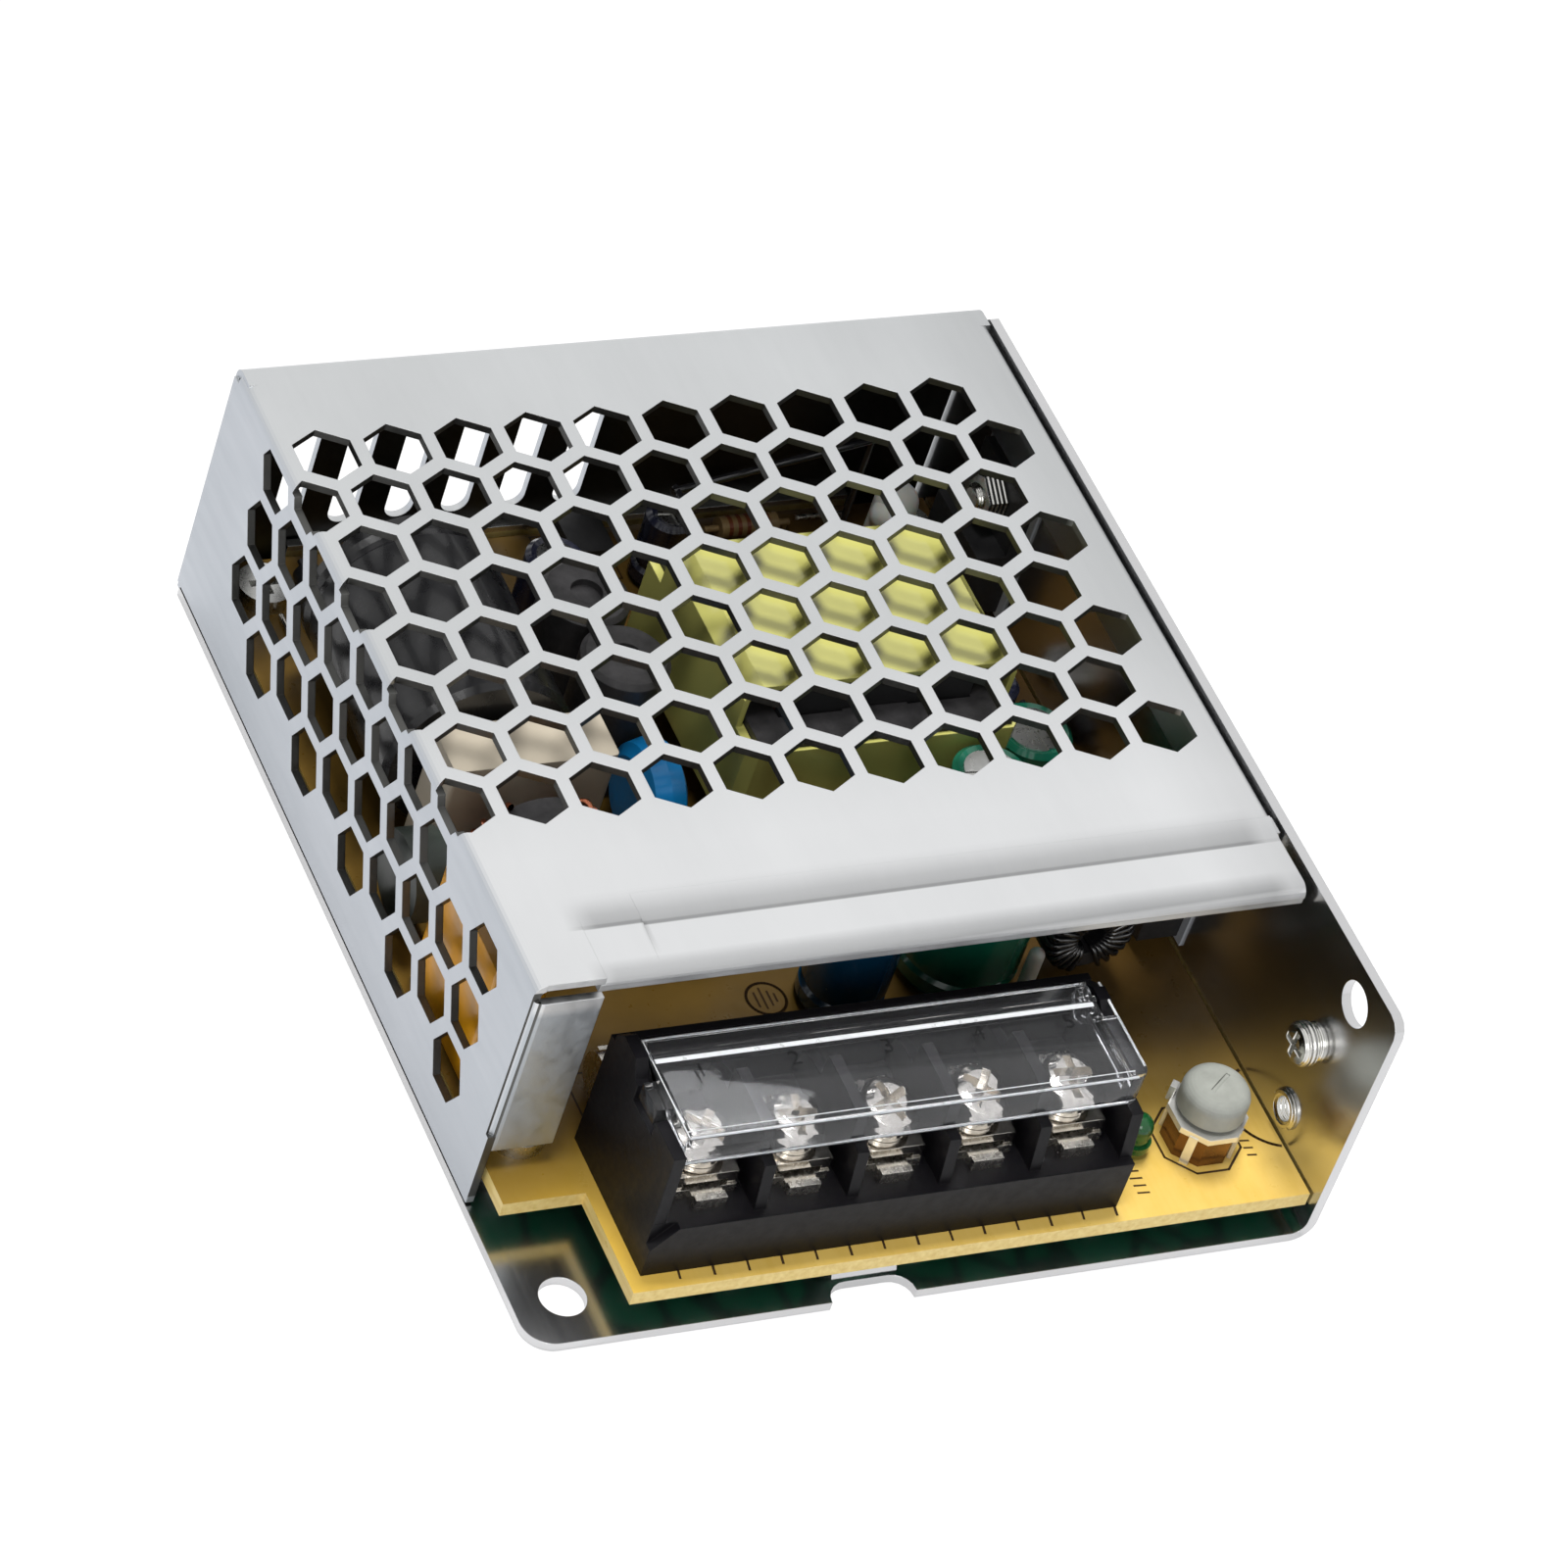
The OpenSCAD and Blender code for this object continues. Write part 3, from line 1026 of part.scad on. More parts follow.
flying_lead();
silicone_blobs();
solder_joints();
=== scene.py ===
import math

import bmesh
import bpy
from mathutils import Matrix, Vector


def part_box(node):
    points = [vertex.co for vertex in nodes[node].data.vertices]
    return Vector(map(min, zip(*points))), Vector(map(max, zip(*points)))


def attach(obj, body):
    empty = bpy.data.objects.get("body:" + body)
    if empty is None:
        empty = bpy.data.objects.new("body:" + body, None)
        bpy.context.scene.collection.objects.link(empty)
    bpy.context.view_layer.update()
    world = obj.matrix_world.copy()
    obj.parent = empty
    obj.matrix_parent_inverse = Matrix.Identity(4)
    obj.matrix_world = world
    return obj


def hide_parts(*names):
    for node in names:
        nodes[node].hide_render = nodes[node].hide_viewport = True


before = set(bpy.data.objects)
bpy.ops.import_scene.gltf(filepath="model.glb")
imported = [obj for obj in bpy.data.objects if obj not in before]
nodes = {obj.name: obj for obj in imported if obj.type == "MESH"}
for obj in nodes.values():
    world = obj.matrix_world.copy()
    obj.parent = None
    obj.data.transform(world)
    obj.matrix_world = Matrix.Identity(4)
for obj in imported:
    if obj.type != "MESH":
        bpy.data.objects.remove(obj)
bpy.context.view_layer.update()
scene = bpy.context.scene
MM = 0.001


# Colours are written as display values and turned into linear ones.
def tint(r, g, b, a=1.0):
    def lin(v):
        v = v / 255
        return v / 12.92 if v <= 0.04045 else ((v + 0.055) / 1.055) ** 2.4

    return (lin(r), lin(g), lin(b), a)


class Paint:
    """A material with a Principled shader and small helpers for its texture nodes."""

    def __init__(self, name, color, rough=0.5, metal=0.0, **sockets):
        self.mat = bpy.data.materials.new(name)
        self.mat.use_nodes = True
        self.tree = self.mat.node_tree
        self.bsdf = next(n for n in self.tree.nodes if n.type == "BSDF_PRINCIPLED")
        self.color = color
        self.rough = rough
        self.put("Base Color", color)
        self.put("Roughness", rough)
        self.put("Metallic", metal)
        for key, value in sockets.items():
            self.put(key.replace("_", " "), value)
        self.coords = None
        self.normal = None

    def put(self, socket, value):
        self.bsdf.inputs[socket].default_value = value

    def new(self, kind, **values):
        node = self.tree.nodes.new(kind)
        for key, value in values.items():
            setattr(node, key, value)
        return node

    def link(self, a, b):
        self.tree.links.new(a, b)

    def space(self, stretch=(1, 1, 1)):
        if self.coords is None:
            self.coords = self.new("ShaderNodeTexCoord")
        mapping = self.new("ShaderNodeMapping")
        mapping.inputs["Scale"].default_value = stretch
        self.link(self.coords.outputs["Object"], mapping.inputs["Vector"])
        return mapping.outputs["Vector"]

    def noise(self, scale, stretch=(1, 1, 1), detail=4.0, roughness=0.55):
        node = self.new("ShaderNodeTexNoise")
        node.inputs["Scale"].default_value = scale
        node.inputs["Detail"].default_value = detail
        node.inputs["Roughness"].default_value = roughness
        self.link(self.space(stretch), node.inputs["Vector"])
        return node.outputs["Fac"]

    def span(self, value, low, high, from_low=0.3, from_high=0.7):
        node = self.new("ShaderNodeMapRange")
        node.inputs["From Min"].default_value = from_low
        node.inputs["From Max"].default_value = from_high
        node.inputs["To Min"].default_value = low
        node.inputs["To Max"].default_value = high
        self.link(value, node.inputs["Value"])
        return node.outputs["Result"]

    def mix(self, factor, a, b, blend="MIX"):
        node = self.new("ShaderNodeMix", data_type="RGBA", blend_type=blend)
        if isinstance(factor, float):
            node.inputs[0].default_value = factor
        else:
            self.link(factor, node.inputs[0])
        for value, socket in ((a, node.inputs[6]), (b, node.inputs[7])):
            if isinstance(value, tuple):
                socket.default_value = value
            else:
                self.link(value, socket)
        return node.outputs[2]

    def ramp(self, value, low, high, stops):
        """Grey levels at places in millimetres along a value that runs from low to high in metres."""
        node = self.new("ShaderNodeValToRGB")
        self.link(self.span(value, 0.0, 1.0, low, high), node.inputs[0])
        elements = node.color_ramp.elements
        elements.remove(elements[1])
        for number, (place, level) in enumerate(stops):
            spot = (place * MM - low) / (high - low)
            element = elements.new(spot) if number else elements[0]
            element.position = spot
            element.color = (level, level, level, 1)
        return node.outputs[0]

    def axes(self, vector):
        """The X, Y and Z outputs of a vector."""
        node = self.new("ShaderNodeSeparateXYZ")
        self.link(vector, node.inputs["Vector"])
        return node.outputs

    def facing(self):
        """The X, Y and Z outputs of the direction that a surface faces."""
        return self.axes(self.new("ShaderNodeNewGeometry").outputs["Normal"])

    def rise(self, value, start, width):
        """0 below a value, 1 above it, over a narrow width."""
        return self.span(value, 0.0, 1.0, start, start + width)

    def fall(self, value, start, width):
        """1 below a value, 0 above it, over a narrow width."""
        return self.span(value, 1.0, 0.0, start, start + width)

    def join(self, operation, *values):
        """Several masks in one, by MULTIPLY or by MAXIMUM."""
        result = values[0]
        for value in values[1:]:
            node = self.new("ShaderNodeMath", operation=operation)
            self.link(result, node.inputs[0])
            self.link(value, node.inputs[1])
            result = node.outputs[0]
        return result

    def mottle(self, scale, amount, stretch=(1, 1, 1), detail=4.0):
        """Base colour that wanders between a darker and a lighter tone."""
        dark = tuple(v * (1 - amount) for v in self.color[:3]) + (1.0,)
        light = tuple(min(1.0, v * (1 + amount)) for v in self.color[:3]) + (1.0,)
        wander = self.span(self.noise(scale, stretch, detail), 0.0, 1.0)
        self.link(self.mix(wander, dark, light), self.bsdf.inputs["Base Color"])
        return self

    def uneven(self, scale, amount, stretch=(1, 1, 1), detail=4.0):
        """Roughness that wanders around its value."""
        low = max(0.02, self.rough - amount)
        wander = self.span(self.noise(scale, stretch, detail), low, self.rough + amount)
        self.link(wander, self.bsdf.inputs["Roughness"])
        return self

    def grain(self, scale, depth_mm, stretch=(1, 1, 1), detail=3.0, strength=1.0):
        """Fine relief. Several calls stack."""
        bump = self.new("ShaderNodeBump")
        bump.inputs["Strength"].default_value = strength
        bump.inputs["Distance"].default_value = depth_mm * MM
        self.link(self.noise(scale, stretch, detail), bump.inputs["Height"])
        return self.stack(bump)

    def stack(self, bump):
        if self.normal is not None:
            self.link(self.normal, bump.inputs["Normal"])
        self.normal = bump.outputs["Normal"]
        self.link(self.normal, self.bsdf.inputs["Normal"])
        return self

    def soft_edges(self, radius_mm):
        """Worn edges that catch the light, as on pressed or moulded parts."""
        bevel = self.new("ShaderNodeBevel", samples=4)
        bevel.inputs["Radius"].default_value = radius_mm * MM
        self.normal = bevel.outputs["Normal"]
        self.link(self.normal, self.bsdf.inputs["Normal"])
        return self

    def ridges(self, axis, pitch_mm, depth_mm, shape="SIN"):
        """Even ridges across one axis, such as a thread or wound layers."""
        wave = self.new("ShaderNodeTexWave", wave_type="BANDS", bands_direction=axis, wave_profile=shape)
        wave.inputs["Scale"].default_value = math.pi / (10 * pitch_mm * MM)
        self.link(self.space(), wave.inputs["Vector"])
        bump = self.new("ShaderNodeBump")
        bump.inputs["Distance"].default_value = depth_mm * MM
        self.link(wave.outputs["Fac"], bump.inputs["Height"])
        return self.stack(bump)


def wear(paint, *names):
    for name in names:
        obj = nodes[name]
        obj.data.materials.clear()
        obj.data.materials.append(paint.mat)


# Sheet metal
FRONT_FOLD_SLANT = -0.012  # the band's creases run a little off square
MESH_FRONT = -16.5 * MM
MESH_BACK = 44.5 * MM
MESH_RIGHT = 36.0 * MM
TOP_UNDERSIDE = 29.1 * MM
SIDE_INSIDE = -40.2 * MM

cover_sheet = Paint("plated sheet", tint(214, 217, 219), 0.4, 1.0)
cover_sheet.soft_edges(0.12)
place = cover_sheet.axes(cover_sheet.space())
forward = cover_sheet.fall(place["Y"], -17 * MM, 23 * MM)
cloud = cover_sheet.span(cover_sheet.noise(60, (1, 0.5, 1), 4.0), 0.0, 1.0)
plate = cover_sheet.mix(cloud, tint(203, 205, 206), tint(211, 213, 214))
bright = cover_sheet.mix(cloud, tint(222, 223, 224), tint(228, 229, 230))
sheet_tone = cover_sheet.mix(forward, plate, bright)

# painted shade along the creases and the slope of the front band, which fades out at both ends
across = cover_sheet.new("ShaderNodeMath", operation="MULTIPLY_ADD")
across.inputs[1].default_value = FRONT_FOLD_SLANT
cover_sheet.link(place["X"], across.inputs[0])
cover_sheet.link(place["Y"], across.inputs[2])
lip = ((-31.6, 0.68), (-31.3, 0.68), (-31.1, 0.52), (-30.85, 0.60), (-30.0, 0.78), (-29.0, 1.0))
step = ((-25.42, 1.0), (-25.28, 0.46), (-25.0, 0.46), (-24.85, 0.62))
slope = ((-23.8, 0.70), (-22.9, 0.83), (-22.0, 0.95), (-21.2, 1.0))
crease_shade = cover_sheet.ramp(across.outputs[0], -31.7 * MM, -20.7 * MM, lip + step + slope)
ends = cover_sheet.ramp(place["X"], -41 * MM, 41 * MM, (
    (-35.5, 0.0), (-32.5, 1.0), (36.0, 1.0), (37.8, 0.35)))
# the painted crease shade darkens the sheet tone
sheet_tone = cover_sheet.mix(ends, sheet_tone, cover_sheet.mix(1.0, sheet_tone, crease_shade, "MULTIPLY"))

# painted shade at the small notch near the left end of the band
notch_shade = cover_sheet.ramp(place["X"], -31 * MM, -25 * MM, (
    (-28.3, 1.0), (-27.95, 0.72), (-27.7, 0.76), (-27.3, 1.0)))
reach = cover_sheet.ramp(place["Y"], -32 * MM, -22 * MM, (
    (-29.2, 0.0), (-27.2, 0.6), (-25.6, 1.0), (-24.9, 0.0)))
sheet_tone = cover_sheet.mix(reach, sheet_tone, cover_sheet.mix(1.0, sheet_tone, notch_shade, "MULTIPLY"))

# painted shade: the mesh side is painted darker than the top, and the top is painted darker towards its
# right edge
normal = cover_sheet.facing()
side = cover_sheet.fall(normal["X"], -0.95, 0.45)
side_shade_tone = cover_sheet.mix(cloud, tint(178, 183, 189), tint(188, 192, 198))
sheet_tone = cover_sheet.mix(side, sheet_tone, side_shade_tone)
# painted shade towards the right edge of the top
edge = cover_sheet.ramp(place["X"], 28 * MM, 42 * MM, ((30.0, 1.0), (38.5, 0.88)))
sheet_tone = cover_sheet.mix(1.0, sheet_tone, edge, "MULTIPLY")

# painted shade on the front face of the short flange beside the terminal block
flange = cover_sheet.join(
    "MULTIPLY",
    cover_sheet.fall(normal["Y"], -0.8, 0.2),
    cover_sheet.fall(place["X"], -33.5 * MM, 0.5 * MM),
    cover_sheet.fall(place["Z"], 26.2 * MM, 1.0 * MM))
sheet_tone = cover_sheet.mix(flange, sheet_tone, tint(184, 189, 194))

# painted shade on the walls of the holes in the top and in the side
top_holes = cover_sheet.join(
    "MULTIPLY",
    cover_sheet.fall(normal["Z"], 0.45, 0.15),
    cover_sheet.rise(normal["Z"], -0.6, 0.15),
    cover_sheet.rise(place["Z"], TOP_UNDERSIDE, 0.1 * MM),
    cover_sheet.rise(place["Y"], MESH_FRONT, 0.5 * MM),
    cover_sheet.fall(place["Y"], MESH_BACK, 0.5 * MM),
    cover_sheet.rise(place["X"], SIDE_INSIDE, 0.1 * MM),
    cover_sheet.fall(place["X"], MESH_RIGHT, 0.5 * MM))
side_holes = cover_sheet.join(
    "MULTIPLY",
    cover_sheet.fall(normal["X"], 0.45, 0.15),
    cover_sheet.rise(normal["X"], -0.6, 0.15),
    cover_sheet.fall(place["X"], SIDE_INSIDE, 0.1 * MM),
    cover_sheet.fall(place["Z"], TOP_UNDERSIDE, 0.1 * MM),
    cover_sheet.rise(place["Z"], 2.0 * MM, 0.2 * MM),
    cover_sheet.rise(place["Y"], -37.5 * MM, 0.5 * MM),
    cover_sheet.fall(place["Y"], 45.5 * MM, 0.5 * MM))
hole_wall_shade = cover_sheet.join("MAXIMUM", top_holes, side_holes)
sheet_tone = cover_sheet.mix(hole_wall_shade, sheet_tone, tint(96, 96, 94))

# painted shade on the inside of the cover: under the top, behind the mesh side, inside the back
inside_shade = cover_sheet.join(
    "MAXIMUM",
    cover_sheet.fall(normal["Z"], -0.6, 0.2),
    cover_sheet.join("MULTIPLY", cover_sheet.rise(normal["X"], 0.4, 0.2),
                     cover_sheet.fall(place["X"], -39.5 * MM, 0.5 * MM)),
    cover_sheet.join("MULTIPLY", cover_sheet.fall(normal["Y"], -0.6, 0.2),
                     cover_sheet.rise(place["Y"], 47.0 * MM, 0.5 * MM)))
sheet_tone = cover_sheet.mix(inside_shade, sheet_tone, tint(70, 70, 68))
cover_sheet.link(sheet_tone, cover_sheet.bsdf.inputs["Base Color"])
cover_sheet.uneven(700, 0.06, (1, 0.12, 1))
cover_sheet.grain(2600, 0.008, (1, 0.2, 1))
cover_sheet.grain(120, 0.014)

bright_sheet = Paint("bright sheet", tint(206, 206, 207), 0.23, 1.0)
bright_sheet.soft_edges(0.12)
bright_sheet.mottle(60, 0.03).uneven(2200, 0.02, (1, 0.03, 0.6))
bright_sheet.grain(3200, 0.002, (1, 0.05, 0.5))

zinc = Paint("zinc screw", tint(214, 213, 208), 0.22, 1.0)
zinc.soft_edges(0.06)
zinc.mottle(900, 0.06).uneven(1500, 0.06)
zinc.ridges("X", 0.5, 0.09)

zinc_down = Paint("zinc board screw", tint(206, 206, 203), 0.28, 1.0)
zinc_down.soft_edges(0.06)
zinc_down.mottle(900, 0.06).uneven(1500, 0.06)

nickel = Paint("nickel plating", tint(222, 217, 209), 0.13, 1.0)
nickel.soft_edges(0.07)
nickel.mottle(1200, 0.14).uneven(1600, 0.06)
nickel.grain(2600, 0.009)

tinned = Paint("tin plating", tint(218, 214, 206), 0.26, 1.0)
tinned.soft_edges(0.06)
tinned.mottle(1100, 0.10).uneven(1300, 0.08)

shield = Paint("bright contact", tint(236, 235, 230), 0.2, 0.6)
shield.soft_edges(0.08)
shield.mottle(900, 0.06).uneven(1300, 0.05)

# Mouldings
moulding = Paint("black moulding", tint(12, 11, 14), 0.42, 0.0, Specular_IOR_Level=0.18)
moulding.soft_edges(0.14)
moulding.mottle(400, 0.10).uneven(900, 0.08)
moulding.grain(2600, 0.008)

epoxy = Paint("black epoxy", tint(38, 38, 39), 0.5)
epoxy.soft_edges(0.1)
epoxy.mottle(700, 0.12).uneven(1500, 0.08)
epoxy.grain(3500, 0.01)

bobbin = Paint("bobbin moulding", tint(30, 30, 31), 0.45)
bobbin.soft_edges(0.1)
bobbin.mottle(500, 0.12).grain(2500, 0.01)

knob = Paint("knob moulding", tint(150, 152, 145), 0.5)
knob.soft_edges(0.18)
knob.mottle(650, 0.09, (1, 1, 1), 6.0).uneven(900, 0.12)
knob.grain(1600, 0.03)

base_brown = Paint("trimmer body", tint(116, 80, 40), 0.16, 0.6)
base_brown.soft_edges(0.12)
base_brown.mottle(420, 0.3).uneven(700, 0.08)

lens = Paint("lamp lens", tint(24, 104, 50), 0.1, 0.0, Transmission_Weight=0.5, IOR=1.5)
lens.mottle(300, 0.1)

clear = Paint("clear moulding", tint(240, 241, 244), 0.035, 0.0, Transmission_Weight=0.985, IOR=1.3)
clear.uneven(500, 0.02)
clear.grain(350, 0.006)

fuse_wall = Paint("fuse tube", tint(232, 230, 222), 0.18)
fuse_wall.mottle(400, 0.04)

film = Paint("insulation film", tint(150, 150, 140), 0.3, 0.0, Transmission_Weight=0.2)
film.mottle(200, 0.04).uneven(500, 0.08)

# Electrical parts
amber = Paint("amber film capacitor", tint(240, 168, 26), 0.3, 0.0, Coat_Weight=0.15)
amber.soft_edges(0.2)
amber.mottle(260, 0.12).grain(900, 0.02)

cream = Paint("cream film capacitor", tint(184, 174, 156), 0.42)
cream.soft_edges(0.2)
cream.mottle(260, 0.05).grain(1500, 0.02)

ferrite = Paint("ferrite", tint(46, 45, 46), 0.5)
ferrite.soft_edges(0.15)
ferrite.mottle(900, 0.25).uneven(1200, 0.12)
ferrite.grain(2200, 0.02)

copper = Paint("enamelled copper", tint(206, 122, 86), 0.2, 1.0, Coat_Weight=0.6)
copper.mottle(700, 0.12).uneven(900, 0.06)

copper_bulk = Paint("wound copper", tint(176, 104, 68), 0.35, 0.8)
copper_bulk.mottle(500, 0.15)
copper_bulk.ridges("Z", 0.4, 0.12)

black_wire = Paint("black wire", tint(26, 26, 28), 0.16, 0.0, Coat_Weight=0.5)
black_wire.mottle(800, 0.2).uneven(900, 0.06)

sleeve_black = Paint("black sleeve", tint(16, 16, 18), 0.3, 0.0, Coat_Weight=0.15)
sleeve_black.mottle(300, 0.1).uneven(500, 0.08)
sleeve_black.grain(500, 0.01)

sleeve_small = Paint("dark sleeve", tint(26, 28, 44), 0.26, 0.0, Coat_Weight=0.3)
sleeve_small.mottle(300, 0.1).uneven(500, 0.08)

sleeve_green = Paint("green sleeve", tint(22, 104, 80), 0.2, 0.0, Coat_Weight=0.4)
sleeve_green.mottle(300, 0.12).uneven(500, 0.08)

sleeve_blue = Paint("blue sleeve", tint(16, 70, 104), 0.2, 0.0, Coat_Weight=0.4)
sleeve_blue.mottle(300, 0.1).uneven(500, 0.08)

disc_grey = Paint("grey disc", tint(52, 58, 54), 0.35)
disc_grey.mottle(500, 0.12).grain(700, 0.03)

disc_blue = Paint("blue disc", tint(16, 112, 170), 0.3, 0.0, Coat_Weight=0.2)
disc_blue.mottle(350, 0.12).grain(500, 0.04)

tape = Paint("yellow tape", tint(188, 185, 104), 0.13, 0.0, Coat_Weight=0.35)
tape.soft_edges(0.2)
tape.mottle(120, 0.06).uneven(260, 0.05)
tape.grain(160, 0.05, (1, 0.3, 1))

pad = Paint("thermal pad", tint(178, 182, 190), 0.7)
pad.mottle(500, 0.06).grain(1800, 0.03)

beige = Paint("resistor lacquer", tint(150, 124, 84), 0.35)
beige.mottle(600, 0.1).uneven(900, 0.08)

diode_black = Paint("diode body", tint(36, 36, 38), 0.38)
diode_black.mottle(600, 0.12).uneven(900, 0.08)

silicone = Paint("white silicone", tint(214, 214, 208), 0.38, 0.0, Subsurface_Weight=0.25)
silicone.put("Subsurface Scale", 0.001)
silicone.mottle(300, 0.04).grain(500, 0.08)

vent_metal = Paint("can top", tint(208, 208, 206), 0.3, 1.0)
vent_metal.mottle(900, 0.06).uneven(1200, 0.08)

ink = Paint("printed ink", tint(54, 36, 16), 0.6)
ink.mottle(900, 0.25)

band_ink = Paint("resistor band", tint(120, 60, 30), 0.4)
band_ink.mottle(900, 0.1)

# The board's top, edge and masked underside come from the way they face.
board = Paint("laminate", tint(226, 184, 86), 0.34, 0.0, Specular_IOR_Level=0.4)
normal = board.facing()
place = board.axes(board.space())
patchy = board.span(board.noise(110, (1, 1, 1), 5.0), 0.0, 1.0)
fibre = board.span(board.noise(1500, (1, 0.15, 1), 3.0), 0.0, 1.0)
top_tone = board.mix(patchy, tint(206, 170, 78), tint(224, 190, 100))
top_tone = board.mix(board.span(fibre, 0.0, 0.35, 0.0, 1.0), top_tone, tint(226, 194, 114))
edge_tone = board.mix(fibre, tint(222, 192, 112), tint(240, 216, 142))
# painted light: the board is painted lighter and yellower towards its left end
leftward = board.fall(place["X"], -32 * MM, 10 * MM)
top_tone = board.mix(leftward, top_tone, board.mix(patchy, tint(226, 180, 66), tint(240, 200, 92)))

# painted shade: the board is darker and browner away from the open bay, under the cover, and darker still
# towards the right
under_cover_shade = board.ramp(place["Y"], -50 * MM, 50 * MM, (
    (-43, 0.0), (-36, 0.4), (-32, 0.7), (-28, 0.86), (-20, 0.95), (10, 0.97)))
rightward = board.rise(place["X"], -10 * MM, 35 * MM)
shade_tone = board.mix(patchy, tint(92, 70, 30), tint(110, 84, 36))
shade_tone = board.mix(rightward, shade_tone, board.mix(patchy, tint(74, 52, 24), tint(92, 66, 30)))
top_tone = board.mix(under_cover_shade, top_tone, shade_tone)

# tracks under the solder mask
tracks = board.new("ShaderNodeTexVoronoi", feature="DISTANCE_TO_EDGE")
tracks.inputs["Scale"].default_value = 170
board.link(board.space((1, 0.6, 1)), tracks.inputs["Vector"])
under_tone = board.mix(board.span(tracks.outputs["Distance"], 0.0, 1.0, 0.05, 0.09),
                       tint(8, 52, 38), tint(14, 92, 64))
tone = board.mix(board.rise(normal["Z"], 0.4, 0.2), edge_tone, top_tone)
tone = board.mix(board.fall(normal["Z"], -0.6, 0.2), tone, under_tone)
board.link(tone, board.bsdf.inputs["Base Color"])
board.uneven(700, 0.08)
board.grain(1800, 0.01)

wear(cover_sheet, "cover")
wear(bright_sheet, "chassis")
wear(zinc, "cover_screws", "wall_screws", "wall_nuts")
wear(zinc_down, "board_screws")
wear(board, "circuit_board")
wear(film, "insulation_film")
wear(moulding, "terminal_housing")
wear(bobbin, "choke_stand", "transformer_bobbin")
wear(clear, "terminal_lid")
wear(tinned, "terminal_plates", "fuse_caps", "fuse_clips", "jumper_wires", "solder_joints")
wear(nickel, *(f"clamp_washer_{i}" for i in range(1, 6)), *(f"terminal_screw_{i}" for i in range(1, 6)))
wear(base_brown, "trimmer_base")
wear(shield, "trimmer_contact")
wear(knob, "trimmer_knob")
wear(lens, "status_led")
wear(fuse_wall, "fuse_tube")
wear(amber, "x_capacitor")
wear(cream, "line_capacitor")
wear(ferrite, "choke_core", "transformer_core", "coil_core", "filter_inductors")
wear(copper, "choke_windings")
wear(copper_bulk, "transformer_winding")
wear(epoxy, "bridge_rectifier", "transistor", "output_diode", "optocoupler", "control_chip")
wear(sleeve_black, "bulk_capacitor")
wear(sleeve_small, "aux_capacitors")
wear(sleeve_green, "output_capacitors")
wear(sleeve_blue, "filter_capacitor")
wear(disc_grey, "surge_disc")
wear(disc_blue, "y_capacitor")
wear(tape, "transformer_tape")
wear(pad, "thermal_pads")
wear(black_wire, "coil_winding", "flying_lead")
wear(beige, "resistors")
wear(diode_black, "small_diodes")
wear(silicone, "silicone_blobs")


def shade_by_angle(obj, degrees=35):
    """Smooth faces with sharp edges kept."""
    mesh = obj.data
    edit = bmesh.new()
    edit.from_mesh(mesh)
    for face in edit.faces:
        face.smooth = True
    for edge in edit.edges:
        wide = len(edge.link_faces) == 2 and edge.calc_face_angle(0.0) > math.radians(degrees)
        edge.smooth = not wide
    edit.to_mesh(mesh)
    edit.free()


def piece_from(edit, name, paint, body="case"):
    mesh = bpy.data.meshes.new(name)
    edit.normal_update()
    edit.to_mesh(mesh)
    edit.free()
    obj = bpy.data.objects.new(name, mesh)
    scene.collection.objects.link(obj)
    mesh.materials.append(paint.mat)
    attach(obj, body)
    return obj


def bevelled_copy(node, name, paint, width_mm, body, segments=2):
    """The solid again with rounded edges, in place of the sharp one."""
    edit = bmesh.new()
    edit.from_mesh(nodes[node].data)
    bmesh.ops.remove_doubles(edit, verts=edit.verts, dist=1e-6)
    bmesh.ops.dissolve_limit(edit, angle_limit=math.radians(2), verts=edit.verts, edges=edit.edges)
    sharp = [e for e in edit.edges if len(e.link_faces) == 2 and e.calc_face_angle(0.0) > math.radians(32)]
    bmesh.ops.bevel(edit, geom=sharp, offset=width_mm * MM, segments=segments, profile=0.5,
                    affect="EDGES", clamp_overlap=True)
    for face in edit.faces:
        face.smooth = True
    obj = piece_from(edit, name, paint, body)
    shade_by_angle(obj, 50)
    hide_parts(node)


def wound_ring(name, core, paint, wall, wire, start, sweep, turns):
    """Turns of wire on a standing ring core, its axis along Y. Lengths in mm, angles in degrees."""
    low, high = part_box(core)
    middle = (low + high) / 2 / MM
    outer = (high.x - low.x) / 2 / MM
    inner = outer - wall
    thick = (high.y - low.y) / MM
    curve = bpy.data.curves.new(name, "CURVE")
    curve.dimensions = "3D"
    curve.bevel_depth = wire * MM
    curve.bevel_resolution = 2
    out = wire + 0.12
    half = thick / 2 + out
    near = inner - out
    far = outer + out
    round_r = 0.75
    loop = []
    for cx, cy, a0 in ((far - round_r, half - round_r, 0), (near + round_r, half - round_r, 90),
                       (near + round_r, round_r - half, 180), (far - round_r, round_r - half, 270)):
        for k in range(4):
            a = math.radians(a0 + 30 * k)
            loop.append((cx + round_r * math.cos(a), cy + round_r * math.sin(a)))
    spline = curve.splines.new("POLY")
    count = turns * len(loop)
    spline.points.add(count - 1)
    for i in range(count):
        radial, axial = loop[i % len(loop)]
        a = math.radians(start + sweep * i / count)
        spline.points[i].co = ((middle[0] + radial * math.cos(a)) * MM, (middle[1] + axial) * MM,
                               (middle[2] + radial * math.sin(a)) * MM, 1)
    obj = bpy.data.objects.new(name, curve)
    scene.collection.objects.link(obj)
    curve.materials.append(paint.mat)
    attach(obj, "case")
    return obj


def centre(node):
    low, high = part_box(node)
    return (low + high) / 2 / MM


